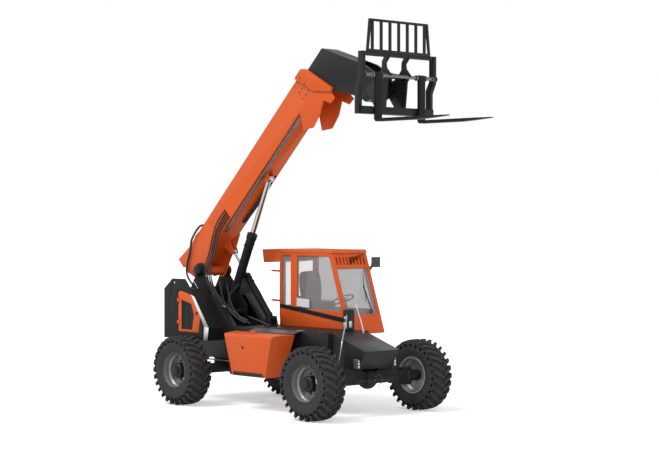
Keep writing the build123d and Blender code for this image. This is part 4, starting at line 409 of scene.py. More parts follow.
class Shape:
    """A mesh under construction, in the frame's own metres."""

    def __init__(self) -> None:
        """Start with an empty mesh."""
        self.bm = bmesh.new()

    def paint(self, verts: Iterable[BMVert], index: int) -> None:
        """Give the faces of some new vertices a material index."""
        for face in faces_of(verts):
            face.material_index = index

    def place(self, verts: list[BMVert], axis: Point, middle: Point, index: int) -> None:
        """Turn new vertices from Z to another axis, move them and paint them.

        Args:
            verts: the vertices, built round the origin.
            axis: direction that their Z takes.
            middle: where the origin goes.
            index: material index.
        """
        turn = Vector(axis).to_track_quat("Z", "Y").to_matrix()
        bmesh.ops.rotate(self.bm, cent=ORIGIN, matrix=turn, verts=verts)
        bmesh.ops.translate(self.bm, vec=middle, verts=verts)
        self.paint(verts, index)

    def block(self, low: Triple, high: Triple, index: int = 0) -> None:
        """Add a box between two corners.

        Args:
            low: lowest corner.
            high: highest corner.
            index: material index.
        """
        verts = bmesh.ops.create_cube(self.bm, size=1.0)["verts"]
        bmesh.ops.scale(self.bm, vec=Vector(high) - Vector(low), verts=verts)
        bmesh.ops.translate(self.bm, vec=(Vector(high) + Vector(low)) / 2, verts=verts)
        self.paint(verts, index)

    def bar(self, start: Triple, end: Triple, width: float, depth: float, index: int = 0) -> None:
        """Add a straight square bar between two points.

        Args:
            start: middle of one end.
            end: middle of the other end.
            width: width along Y.
            depth: depth square to the bar and to Y.
            index: material index.
        """
        first, last = Vector(start), Vector(end)
        verts = bmesh.ops.create_cube(self.bm, size=1.0)["verts"]
        bmesh.ops.scale(self.bm, vec=(depth, width, (last - first).length), verts=verts)
        self.place(verts, last - first, (first + last) / 2, index)

    def rod(self, start: Point, end: Point, radius: float, index: int = 0, sides: int = 24) -> None:
        """Add a round bar between two points.

        Args:
            start: middle of one end.
            end: middle of the other end.
            radius: its radius.
            index: material index.
            sides: sides of the circle; six make a nut.
        """
        first, last = Vector(start), Vector(end)
        verts = bmesh.ops.create_cone(self.bm, cap_ends=True, segments=sides, radius1=radius, radius2=radius,
                                      depth=(last - first).length)["verts"]
        self.place(verts, last - first, (first + last) / 2, index)

    def lathe(self, rings: Profile, centre: Point, axis: Point, index: int = 0, steps: int = 64) -> None:
        """Turn a closed profile about an axis.

        Args:
            rings: radius and height along the axis of each corner.
            centre: point where the height is zero.
            axis: direction of the axis.
            index: material index.
            steps: steps round the turn.
        """
        old = set(self.bm.verts)
        corners = [self.bm.verts.new((radius, 0.0, along)) for radius, along in rings]
        edges = [self.bm.edges.new((a, b)) for a, b in zip(corners, corners[1:] + corners[:1])]
        bmesh.ops.spin(self.bm, geom=corners + edges, cent=ORIGIN, axis=UP, angle=math.tau, steps=steps,
                       use_merge=True)
        bmesh.ops.remove_doubles(self.bm, verts=[v for v in self.bm.verts if v not in old], dist=WELD)
        verts = [v for v in self.bm.verts if v not in old]
        bmesh.ops.recalc_face_normals(self.bm, faces=faces_of(verts))
        self.place(verts, axis, centre, index)

    def plate(self, corners: Sequence[Triple], push: Triple, index: int = 0) -> None:
        """Add a flat plate from its outline.

        Args:
            corners: outline of one side, in order.
            push: thickness of the plate as a vector.
            index: material index.
        """
        face = self.bm.faces.new([self.bm.verts.new(corner) for corner in corners])
        grown = bmesh.ops.extrude_face_region(self.bm, geom=[face], use_keep_orig=True)["geom"]
        verts = [g for g in grown if isinstance(g, BMVert)]
        bmesh.ops.translate(self.bm, vec=push, verts=verts)
        both = verts + list(face.verts)
        bmesh.ops.recalc_face_normals(self.bm, faces=faces_of(both))
        self.paint(both, index)

    def nuts(self, spots: Iterable[Triple], axis: Triple, size: Pair, index: int = 0) -> None:
        """Stand hexagon heads, each of a radius over the corners and a height, on some spots."""
        for spot in spots:
            self.rod(spot, Vector(spot) + Vector(axis) * size[1], size[0], index, 6)

    def nut_circle(self, centre: Triple, axis: Triple, ring: float, count: int, size: Pair, index: int = 0,
                   start: float = 0.0) -> None:
        """Add hexagon heads round a circle that faces along X or Y.

        Args:
            centre: middle of the circle.
            axis: direction in which the heads stand, along X or Y.
            ring: radius of the circle.
            count: how many heads.
            size: radius over the corners and height of a head.
            index: material index.
            start: angle of the first head, in radians.
        """
        spots = []
        for k in range(count):
            angle = start + math.tau * k / count
            a, b = ring * math.cos(angle), ring * math.sin(angle)
            shift = (0.0, a, b) if axis[0] else (a, 0.0, b)
            spots.append(tuple(c + s for c, s in zip(centre, shift)))
        self.nuts(spots, axis, size, index)

    def finish(self, name: str, finishes: Sequence[Finish], bevel: float = 0.001,
               body: str = Body.CHASSIS) -> Object:
        """Close the mesh as a dressed piece on its body.

        Args:
            name: name of the piece.
            finishes: one finish per material index.
            bevel: width of the rounded edges, or 0.
            body: body that it rides on.

        Returns:
            The finished piece.
        """
        return finish_piece(link_mesh(self.bm, name, finishes, bevel), body, finishes[0].slot)


def add_hoses(name: str, runs: Sequence[Route], radius: float, finish: Finish, body: str = Body.CHASSIS,
              bend: Span | None = None) -> None:
    """Lay fixed hoses or pipes along smooth lines.

    Args:
        name: name of the piece.
        runs: points that each hose follows.
        radius: radius of a hose.
        finish: its finish.
        body: body that it rides on.
        bend: where it leaves the chassis and where it joins the boom, if it crosses the boom's pivot; then
            the hose rides on no body and does not bend, and the points themselves are not used.
    """
    line = bpy.data.curves.new(f"{name}_line", "CURVE")
    line.dimensions = "3D"
    line.bevel_depth = radius
    line.bevel_resolution = 3
    line.resolution_u = 10
    line.use_fill_caps = True
    for run in runs:
        spline = line.splines.new("NURBS")
        spline.points.add(len(run) - 1)
        for point, place in zip(spline.points, run):
            point.co = (*place, 1.0)
        spline.order_u = 3
        spline.use_endpoint_u = True
    holder = add_object(f"{name}_line", line)
    seen = holder.evaluated_get(bpy.context.evaluated_depsgraph_get())
    mesh = bpy.data.meshes.new_from_object(seen)
    bpy.data.objects.remove(holder)
    bpy.data.curves.remove(line)
    mesh.name = name
    mesh.materials.clear()
    mesh.materials.append(finish.build())
    mesh.shade_smooth()
    piece = add_object(name, mesh)
    if bend is None:
        finish_piece(piece, body, finish.slot)
        return
    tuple(bend[0])
    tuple(bend[1])
    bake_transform(piece)
    LOG.info("%s bends from %s to %s", name, Body.CHASSIS, Body.BOOM)


def on_boom(along: float, high: float, y: float) -> Triple:
    """Return the point that far from the pivot, along the boom and square to it, at a place across it."""
    reach, rise = math.cos(BOOM_ANGLE), math.sin(BOOM_ANGLE)
    return (PIVOT_X + along * reach - high * rise, y, PIVOT_Z + along * rise + high * reach)


def on_tread(shift: float, y: float, radius: float) -> Vector:
    """Return the point that far round a tyre from its top, at a radius."""
    return Vector((shift, y, math.sqrt(radius * radius - shift * shift)))


def point_inside(spot: Pair, outline: Sequence[Sequence[float]]) -> bool:
    """Tell whether a point lies inside a flat outline.

    Args:
        spot: the point.
        outline: corners of the outline, in order.

    Returns:
        Whether a line from the point crosses the outline an odd number of times.
    """
    x, z = spot
    crossings = 0
    for (ax, az), (bx, bz) in zip(outline, [*outline[1:], outline[0]]):
        if (az > z) != (bz > z) and x < ax + (z - az) * (bx - ax) / (bz - az):
            crossings += 1
    return crossings % 2 == 1


@dataclass
class Wheel:
    """One wheel: a carcass with slanted shoulder bars on a dished steel rim."""

    name: str
    x: float
    side: int
    z: float = 0.54
    y: float = 1.1
    # Half the carcass, from the bead to the crown: radius and distance from the middle
    carcass: Profile = (
        (0.268, 0.15), (0.3, 0.16), (0.34, 0.176), (0.385, 0.186), (0.425, 0.182), (0.452, 0.168),
        (0.478, 0.146), (0.498, 0.112), (0.51, 0.06),
    )
    crown: float = 0.513
    bars: int = 27
    # One bar, from the middle out: distance from the middle, shift round the tyre, foot, top and half width
    stations: tuple[tuple[float, ...], ...] = (
        (0.004, -0.05, 0.5, 0.54, 0.031), (0.06, -0.022, 0.5, 0.54, 0.031),
        (0.12, 0.012, 0.492, 0.538, 0.03), (0.16, 0.036, 0.47, 0.531, 0.029),
        (0.18, 0.05, 0.44, 0.508, 0.027), (0.1855, 0.058, 0.418, 0.47, 0.022),
        (0.185, 0.062, 0.405, 0.432, 0.016),
    )
    bar_taper: float = 0.86
    # The hub: its radius, and how far from the machine's middle it begins
    hub: float = 0.121
    hub_back: float = 1.09
    flange: Profile = ((0.28, 0.1645), (0.27, 0.165), (0.268, 0.158), (0.279, 0.157))
    nuts: int = 10
    nut_ring: float = 0.15
    nut_size: Pair = (0.015, 0.02)
    bolts: int = 8
    bolt_ring: float = 0.08
    bolt_size: Pair = (0.009, 0.008)
    cap: Profile = ((0.0, 0.006), (0.018, 0.006), (0.022, 0.0), (0.0, -0.002))

    def at(self, out: float, along: float = 0.0, up: float = 0.0) -> Triple:
        """Return the place at some distances from the middle of the wheel."""
        return (self.x + along, self.side * (self.y + out), self.z + up)

    def build(self) -> None:
        """Build the tyre and dress the rim."""
        self.build_tyre()
        self.build_rim()

    def build_tyre(self) -> None:
        """Spin the carcass and set its bars."""
        shape = Shape()
        back = tuple((radius, -out) for radius, out in reversed(self.carcass))
        shape.lathe((*self.carcass, (self.crown, 0.0), *back), ORIGIN, (0, 1, 0), steps=96)
        for side, lead in ((1, 0.0), (-1, 0.5)):
            self.add_bars(shape.bm, side, lead * math.tau / self.bars)
        bmesh.ops.translate(shape.bm, vec=self.at(0.0), verts=shape.bm.verts)
        piece = shape.finish(f"{self.name}_tyre_tread", (RUBBER,), 0.004, f"{self.name}_wheel")
        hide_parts(f"{self.name}_tyre")

    def add_bars(self, bm: BMesh, side: int, lead: float) -> None:
        """Extrude one bar over the shoulder and repeat it round the tyre.

        Args:
            bm: mesh of the tyre.
            side: which shoulder, 1 or -1.
            lead: angle of the first bar.
        """
        old = set(bm.verts)
        outlines = [
            [
                on_tread(-shift + turn * wide * (1.0 if radius == low else self.bar_taper), side * y, radius)
                for turn, radius in ((-1, low), (1, low), (1, high), (-1, high))
            ]
            for y, shift, low, high, wide in self.stations
        ]
        face = bm.faces.new([bm.verts.new(place) for place in outlines[0]])
        for here, ahead in zip(outlines, outlines[1:]):
            first = here is outlines[0]
            grown = bmesh.ops.extrude_face_region(bm, geom=[face], use_keep_orig=first)["geom"]
            face = next(g for g in grown if isinstance(g, BMFace))
            for vert in face.verts:
                nearest = min(range(len(here)), key=lambda i: (here[i] - vert.co).length)
                vert.co = ahead[nearest]
        verts = [v for v in bm.verts if v not in old]
        bmesh.ops.recalc_face_normals(bm, faces=faces_of(verts))
        geom = [*verts, *dict.fromkeys(e for v in verts for e in v.link_edges), *faces_of(verts)]
        bmesh.ops.rotate(bm, cent=ORIGIN, matrix=Matrix.Rotation(lead, 3, "Y"), verts=verts)
        turn = math.tau - math.tau / self.bars
        bmesh.ops.spin(bm, geom=geom, cent=ORIGIN, axis=(0, 1, 0), angle=turn, steps=self.bars - 1,
                       use_duplicate=True)

    def build_rim(self) -> None:
        """Give the rim a black hub, a bright flange, nuts and a valve."""

        def pick(face: BMFace) -> int:
            """Return the index of black for the hub and of silver elsewhere."""
            x, y, z = face.calc_center_median()
            return int(math.hypot(x - self.x, z - self.z) < self.hub and self.side * y > self.hub_back)

        soften(f"{self.name}_rim", 0.003, (RIM, BLACK), 3, pick)
        out = (0.0, float(self.side), 0.0)
        shape = Shape()
        shape.lathe(self.flange, self.at(0.0), out, steps=72)
        shape.nut_circle(self.at(-0.02), out, self.nut_ring, self.nuts, self.nut_size, 1)
        shape.nut_circle(self.at(0.124), out, self.bolt_ring, self.bolts, self.bolt_size, 1, 0.3)
        shape.lathe(self.cap, self.at(0.146), out, 1, 24)
        shape.rod(self.at(0.02, 0.18, 0.1), self.at(0.07, 0.17, 0.094), 0.005, 1, 12)
        shape.finish(f"{self.name}_rim_fittings", (BRIGHT, BLACK), body=f"{self.name}_wheel")


@dataclass
class RearCover:
    """Rear cover with its white edge stripes and the two grilled engine doors."""

    half: float = 0.7
    stripe_edge: Profile = ((-2.113, 1.668), (-1.75, 1.188), (-1.786, 0.988))
    stripe_back: Profile = ((-2.2, 1.7), (-1.862, 1.205), (-1.878, 0.988))
    stripe_thick: float = 0.0015
    bolts: Profile = ((-2.8, 1.1), (-2.8, 1.4), (-2.8, 1.66), (-2.62, 1.86), (-2.4, 1.88))
    bolt_size: Pair = (0.009, 0.006)
    grille: Profile = ((-2.437, 1.14), (-2.437, 1.61), (-2.187, 1.55), (-2.119, 1.383), (-2.162, 1.14))
    grille_depth: float = 0.019
    grille_thick: float = 0.002
    slat_reach: float = 1.07
    latch: Profile = ((-2.07, 1.385), (-2.025, 1.425))
    latch_thick: float = 0.01

    def build(self) -> None:
        """Dress the cover and the doors."""
        soften("rear_cover", 0.004, (BLACK_FLAT,))
        shape = Shape()
        edge, back = self.stripe_edge, self.stripe_back
        for side in SIDES:
            for corners in zip(edge, edge[1:], back[1:], back):
                shape.plate([(x, side * self.half, z) for x, z in corners], (0, side * self.stripe_thick, 0))
        shape.finish("cover_stripes", (WHITE,), 0.0)
        self.build_door("right", -1, Body.RIGHT_ENGINE_DOOR)
        self.build_door("left", 1, Body.LEFT_ENGINE_DOOR)
        bolts = Shape()
        for side in SIDES:
            spots = [(x, side * self.half, z) for x, z in self.bolts]
            bolts.nuts(spots, (0, side, 0), self.bolt_size)
        bolts.finish("cover_bolts", (BLACK,), 0.0008)

    def build_door(self, name: str, side: int, body: Body) -> None:
        """Dress one engine door: orange frame, dark grille and a latch.

        Args:
            name: side of the machine.
            side: sign of Y on that side.
            body: body of the door.
        """
        edge = self.half * side
        middle = [sum(values) / len(self.grille) for values in zip(*self.grille)]
        wide = [[m + (v - m) * self.slat_reach for m, v in zip(middle, corner)] for corner in self.grille]

        def pick(face: BMFace) -> int:
            """Return the index of the dark finish for the slats and of the orange one for the frame."""
            return int(all(point_inside((v.co.x, v.co.z), wide) for v in face.verts))

        soften(f"engine_door_{name}", 0.003, (ORANGE, GRILLE), pick=pick)
        shape = Shape()
        back = edge - side * self.grille_depth
        shape.plate([(x, back, z) for x, z in self.grille], (0, side * self.grille_thick, 0), 1)
        near, far = sorted((edge, edge + side * self.latch_thick))
        (low_x, low_z), (high_x, high_z) = self.latch
        shape.block((low_x, near, low_z), (high_x, far, high_z))
        shape.finish(f"{name}_engine_door_latch", (BLACK, GRILLE), 0.002, body)


@dataclass
class Chassis:
    """Frame, tower, tank, axles and what is bolted to them."""

    skins: Skins = (
        ("main_frame", 0.004, BLACK, 2), ("boom_tower", 0.004, BLACK_FLAT, 2), ("engine", 0.006, CAST, 2),
        ("driveline front_axle rear_axle", 0.004, CAST, 2),
        ("front_left_knuckle front_right_knuckle rear_left_knuckle rear_right_knuckle", 0.003, CAST, 2),
        ("valve_post", 0.005, BLACK, 2), ("tank", 0.01, ORANGE, 3),
    )
    cap: Profile = ((0.0, 0.012), (0.018, 0.012), (0.022, 0.004), (0.022, -0.03), (0.0, -0.03))
    cap_place: Triple = (-0.557, -1.0, 0.96)
    lid: Profile = ((0.0, 0.03), (0.045, 0.03), (0.052, 0.022), (0.052, 0.0), (0.0, 0.0))
    lid_place: Triple = (-0.62, -0.74, 1.165)
    foot_strip: Route = (
        (-0.83, -0.953, 0.53), (-0.15, -0.953, 0.53), (-0.165, -0.966, 0.585), (-0.84, -0.966, 0.585),
    )
    lamp_y: float = 0.373
    lens_x: Pair = (1.301, 1.3065)
    # Height and radius of each lens
    lenses: Profile = ((0.752, 0.018), (0.795, 0.018), (0.834, 0.014))
    cheek: float = 0.42
    cheek_bolts_x: Pair = (0.45, 0.62)
    cheek_bolts_z: Triple = (1.1, 0.98, 0.86)
    cheek_bolt_size: Pair = (0.011, 0.008)
    nose_top: float = 1.215
    nose_bolts: Profile = ((0.6, -0.26), (0.3, -0.3), (0.6, 0.26), (0.3, 0.22))
    nose_bolt_size: Pair = (0.012, 0.008)
    nose_rods: tuple[Route, ...] = (
        ((0.56, 0.285, 1.62), (0.61, 0.282, 1.5), (0.7, 0.28, 1.32), (0.76, 0.278, 1.12)),
        ((0.6, 0.245, 1.6), (0.65, 0.243, 1.48), (0.735, 0.242, 1.3), (0.79, 0.24, 1.1)),
    )
    grab_rod: Route = (
        (0.6, 0.06, 1.47), (0.625, 0.035, 1.455), (0.76, -0.135, 1.31), (0.935, -0.35, 1.155),
        (0.99, -0.418, 1.06), (0.96, -0.432, 0.87), (0.905, -0.43, 0.68), (0.9, -0.412, 0.66),
    )
    # Valve post: its right and front faces, and the lowest and highest corner of each blank plate
    post_right: float = 0.0545
    post_front: float = 0.6335
    post_plate: float = 0.0015
    upper_plate: Profile = ((0.54, 1.395), (0.61, 1.435))
    lower_plate: Profile = ((0.53, 1.255), (0.6, 1.35))
    front_plate: Profile = ((0.07, 1.27), (0.13, 1.37))
    deck_plate: Route = (
        (-0.95, -0.585, 1.17), (0.1, -0.585, 1.17), (0.1, -0.425, 1.21), (-0.95, -0.425, 1.21),
    )
    deck_disc: Profile = ((0.0, 0.004), (0.06, 0.004), (0.06, -0.006), (0.0, -0.006))
    disc_place: Triple = (0.02, -0.36, 1.216)
    tower_hoses: tuple[Route, ...] = (
        ((-1.7, -0.12, 1.86), (-1.8, -0.2, 1.74), (-1.86, -0.24, 1.56), (-1.7, -0.22, 1.38),
         (-1.42, -0.18, 1.3)),
        ((-1.78, -0.3, 1.86), (-1.72, -0.305, 1.62), (-1.6, -0.302, 1.44), (-1.4, -0.28, 1.3),
         (-1.25, -0.26, 1.26)),
        ((-1.95, -0.31, 1.9), (-1.9, -0.312, 1.66), (-1.74, -0.308, 1.46), (-1.52, -0.29, 1.32),
         (-1.36, -0.27, 1.26)),
        ((-1.35, -0.2, 1.36), (-1.2, -0.22, 1.33), (-1.0, -0.2, 1.28), (-0.9, -0.18, 1.235)),
    )
    tower_pipe: Route = (
        (-2.6, -0.345, 1.925), (-2.39, -0.352, 1.706), (-2.18, -0.35, 1.475), (-2.08, -0.345, 1.452),
        (-1.96, -0.34, 1.481), (-1.88, -0.33, 1.53), (-1.8, -0.318, 1.5),
    )
    frame_pipe: Route = (
        (-2.1, -0.432, 0.668), (-1.9, -0.434, 0.667), (-1.6, -0.434, 0.664), (-1.3, -0.434, 0.662),
    )
    # Outer face of each axle's cover, and the way it looks
    axle_covers: tuple[tuple[float, int], ...] = ((1.329, 1), (-2.144, -1))
    axle_z: float = 0.54
    axle_bolt_size: Pair = (0.01, 0.008)

    def build(self) -> None:
        """Dress the chassis from the frame to the lamps."""
        soften_all(self.skins)
        self.build_tank()
        self.build_nose()
        self.build_deck()
        self.build_pipes()
        self.build_axle_fittings()

    def build_tank(self) -> None:
        """Add the tank's side cap, foot strip and filler lid."""
        shape = Shape()
        shape.lathe(self.cap, self.cap_place, (0, -1, 0), 0, 32)
        shape.plate(self.foot_strip, (0, -0.004, 0))
        shape.lathe(self.lid, self.lid_place, UP, 1, 40)
        shape.finish("tank_fittings", (BLACK, ORANGE))

    def build_nose(self) -> None:
        """Dress the lamps and add the nose bolts and the rods that run down to the nose."""
        soften("lamps", 0.006, (PLASTIC,), 3)
        lenses = Shape()
        back, front = self.lens_x
        for side in SIDES:
            y = side * self.lamp_y
            for z, radius in self.lenses:
                lenses.rod((back, y, z), (front, y, z), radius)
        lenses.finish("lamp_lenses", (LENS,), 0.0008)
        bolts = Shape()
        for z in self.cheek_bolts_z:
            for x in self.cheek_bolts_x:
                for side in SIDES:
                    bolts.nuts([(x, side * self.cheek, z)], (0, side, 0), self.cheek_bolt_size)
        bolts.nuts([(x, y, self.nose_top) for x, y in self.nose_bolts], UP, self.nose_bolt_size)
        bolts.finish("nose_bolts", (BLACK,))
        add_hoses("nose_rods", self.nose_rods, 0.007, CHROME)

    def build_deck(self) -> None:
        """Add the blank plates on the valve post, the bright rod and the deck plate."""
        shape = Shape()
        for (low_x, low_z), (high_x, high_z) in (self.upper_plate, self.lower_plate):
            y = self.post_right
            corners = [(low_x, y, low_z), (high_x, y, low_z), (high_x, y, high_z), (low_x, y, high_z)]
            shape.plate(corners, (0, -self.post_plate, 0))
        (low_y, low_z), (high_y, high_z) = self.front_plate
        x = self.post_front
        corners = [(x, low_y, low_z), (x, high_y, low_z), (x, high_y, high_z), (x, low_y, high_z)]
        shape.plate(corners, (self.post_plate, 0, 0))
        shape.finish("valve_post_plates", (WHITE,), 0.0)
        add_hoses("grab_rod", (self.grab_rod,), 0.011, CHROME)
        deck = Shape()
        deck.plate(self.deck_plate, (0, 0, 0.005))
        deck.lathe(self.deck_disc, self.disc_place, UP, 1, 32)
        deck.finish("deck_plate", (DECK, BRIGHT))

    def build_pipes(self) -> None:
        """Lay the hoses that feed the cylinders and the pipes along the frame."""
        add_hoses("tower_hoses", self.tower_hoses, 0.013, HOSE)
        add_hoses("tower_pipe", (self.tower_pipe,), 0.007, BRIGHT)
        add_hoses("frame_pipes", (self.frame_pipe,), 0.012, STEEL)

    def build_axle_fittings(self) -> None:
        """Bolt the covers of both axles."""
        shape = Shape()
        for x, way in self.axle_covers:
            shape.nut_circle((x, 0.0, self.axle_z), (way, 0, 0), 0.075, 8, self.axle_bolt_size)
        shape.finish("axle_bolts", (STEEL,))


@dataclass
class Pad:
    """A seat pad: a box swelled to a crown, with a sewn channel on each side."""

    name: str
    centre: Triple
    size: Triple
    lean: float
    cuts: int = 7
    crown: float = 0.1
    channel: float = 0.5
    channel_half: float = 0.13
    channel_pull: float = 0.985
    smoothing: float = 0.4

    def build(self) -> None:
        """Swell the box, lean it back and round it with two levels of subdivision."""
        bm = bmesh.new()
        bmesh.ops.create_cube(bm, size=1.0)
        bmesh.ops.subdivide_edges(bm, edges=bm.edges, cuts=self.cuts, use_grid_fill=True)
        for vert in bm.verts:
            x, y, z = vert.co * 2
            vert.co *= 1.0 - self.crown * (x * x + y * y + z * z - max(x * x, y * y, z * z))
            if abs(abs(y) - self.channel) < self.channel_half:
                vert.co *= self.channel_pull
        bmesh.ops.smooth_vert(bm, verts=bm.verts, factor=self.smoothing, use_axis_x=True, use_axis_y=True,
                              use_axis_z=True)
        bmesh.ops.scale(bm, vec=self.size, verts=bm.verts)
        lean = Matrix.Rotation(math.radians(self.lean), 3, "Y")
        bmesh.ops.rotate(bm, cent=ORIGIN, matrix=lean, verts=bm.verts)
        bmesh.ops.translate(bm, vec=self.centre, verts=bm.verts)
        pad = link_mesh(bm, self.name, (CLOTH,))
        swell = pad.modifiers.new("swell", "SUBSURF")
        swell.levels = swell.render_levels = 2
        finish_piece(pad, Body.CHASSIS, "seat_fabric")


@dataclass
class Cab:
    """Cab shell, glass, seat, mirror and the swung rear window."""

    skins: Skins = (
        ("cab_side cab_rear cab_front", 0.005, ORANGE, 3), ("cab_base", 0.005, BLACK_FLAT, 3),
        ("cab_roof", 0.012, ORANGE, 3), ("cab_door", 0.005, ORANGE, 3),
        ("controls mirror", 0.006, PLASTIC, 3), ("rear_window", 0.003, BLACK, 2),
        ("cab_glass door_glass", 0.001, GLASS, 2),
    )
    right: float = 0.3
    sill: Profile = ((-1.19, 1.5), (0.318, 1.318), (0.296, 1.392), (-1.19, 1.56))
    sill_thick: float = 0.006
    card: Profile = ((-0.79, 1.535), (-0.5, 1.515), (-0.5, 1.648), (-0.79, 1.662))
    card_thick: float = 0.008
    hatch: Span = ((-0.727, 0.435, 2.424), (-0.247, 0.915, 2.4253))
    roof_plug: Span = ((-0.02, 0.66, 2.4), (-0.02, 0.66, 2.4249))
    # The rear window's arms: their heights, and x and y of the wall, the knee and the window
    arm_heights: Pair = (2.07, 1.6)
    arm_rise: float = 0.005
    arm_wall: Pair = (-1.205, 0.35)
    arm_knee: Pair = (-1.44, 0.365)
    arm_end: Pair = (-1.5, 0.36)
    wiper_boss: Span = ((0.3, 0.85, 1.47), (0.328, 0.85, 1.48))
    wiper_arm: Span = ((0.33, 0.85, 1.48), (0.185, 0.8, 1.87))
    wiper_blade: Span = ((0.29, 0.76, 1.62), (0.11, 0.86, 2.05))
    seat_box: Span = ((-0.898, 0.554, 1.257), (-0.576, 0.876, 1.44))
    seat_pan: Span = ((-0.94, 0.53, 1.44), (-0.54, 0.9, 1.47))
    seat_rails: Pair = (0.515, 0.915)
    pads: tuple[Pad, ...] = (
        Pad("seat_cushion", (-0.735, 0.715, 1.545), (0.44, 0.44, 0.135), 0.0),
        Pad("seat_back", (-0.935, 0.715, 1.845), (0.11, 0.43, 0.46), -7.0),
    )

    def build(self) -> None:
        """Dress the cab."""
        soften_all(self.skins)
        self.build_sill()
        self.build_fittings()
        self.build_seat()

    def build_sill(self) -> None:
        """Add the black sill band and the blank card on the right-hand side."""
        shape = Shape()
        shape.plate([(x, self.right, z) for x, z in self.sill], (0, -self.sill_thick, 0))
        shape.plate([(x, self.right, z) for x, z in self.card], (0, -self.card_thick, 0), 1)
        shape.finish("cab_sill_band", (BLACK_FLAT, WHITE))

    def build_fittings(self) -> None:
        """Add the roof hatch, the rear window's arms and the wiper."""
        shape = Shape()
        shape.block(*self.hatch)
        shape.rod(*self.roof_plug, 0.02, 1, 16)
        for height in self.arm_heights:
            knee = (*self.arm_knee, height + self.arm_rise)
            shape.bar((*self.arm_wall, height), knee, 0.03, 0.03, 1)
            shape.bar(knee, (*self.arm_end, height + self.arm_rise), 0.01, 0.01)
        shape.finish("roof_hatch_and_brackets", (BLACK_FLAT, ORANGE), 0.002)
        wiper = Shape()
        wiper.rod(*self.wiper_boss, 0.03)
        wiper.bar(*self.wiper_arm, 0.02, 0.012)
        wiper.bar(*self.wiper_blade, 0.014, 0.01)
        wiper.finish("windscreen_wiper", (PLASTIC,), 0.002)

    def build_seat(self) -> None:
        """Build the seat box with its rails, and the two pads."""
        base = Shape()
        base.block(*self.seat_box)
        base.block(*self.seat_pan, 1)
        for y in self.seat_rails:
            base.rod((-0.9, y, 1.452), (-0.56, y, 1.452), 0.009, 2)
        piece = base.finish("seat_base", (PLASTIC, BLACK, CHROME), 0.006)
        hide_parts("seat")
        for pad in self.pads:
            pad.build()


@dataclass
class Cylinder:
    """Gland ring and hose ports of one cylinder's barrel."""

    name: str
    body: Body
    foot: Triple
    eye: Triple
    radius: float
    length: float
    ring_inset: float = 0.09
    ports: Pair = (0.12, 0.86)
    port_radius: float = 0.018
    port_depth: float = 0.006
    port_height: float = 0.03

    def build(self) -> None:
        """Set the ring near the barrel's mouth and a port near each end."""
        start = Vector(self.foot)
        along = (Vector(self.eye) - start).normalized()
        inner, outer = self.radius - 0.004, self.radius + 0.007
        ring = ((inner, 0.0), (outer, 0.004), (outer, 0.044), (inner, 0.052))
        shape = Shape()
        shape.lathe(ring, start + along * (self.length - self.ring_inset), along, 0, 48)
        side = Vector((0, math.copysign(1, self.foot[1]), 0))
        for share in self.ports:
            spot = start + along * (self.length * share) + side * (self.radius - self.port_depth)
            shape.rod(spot, spot + side * self.port_height, self.port_radius, 0, 20)
        shape.finish(f"{self.name}_cylinder_fittings", (BLACK,), 0.002, self.body)


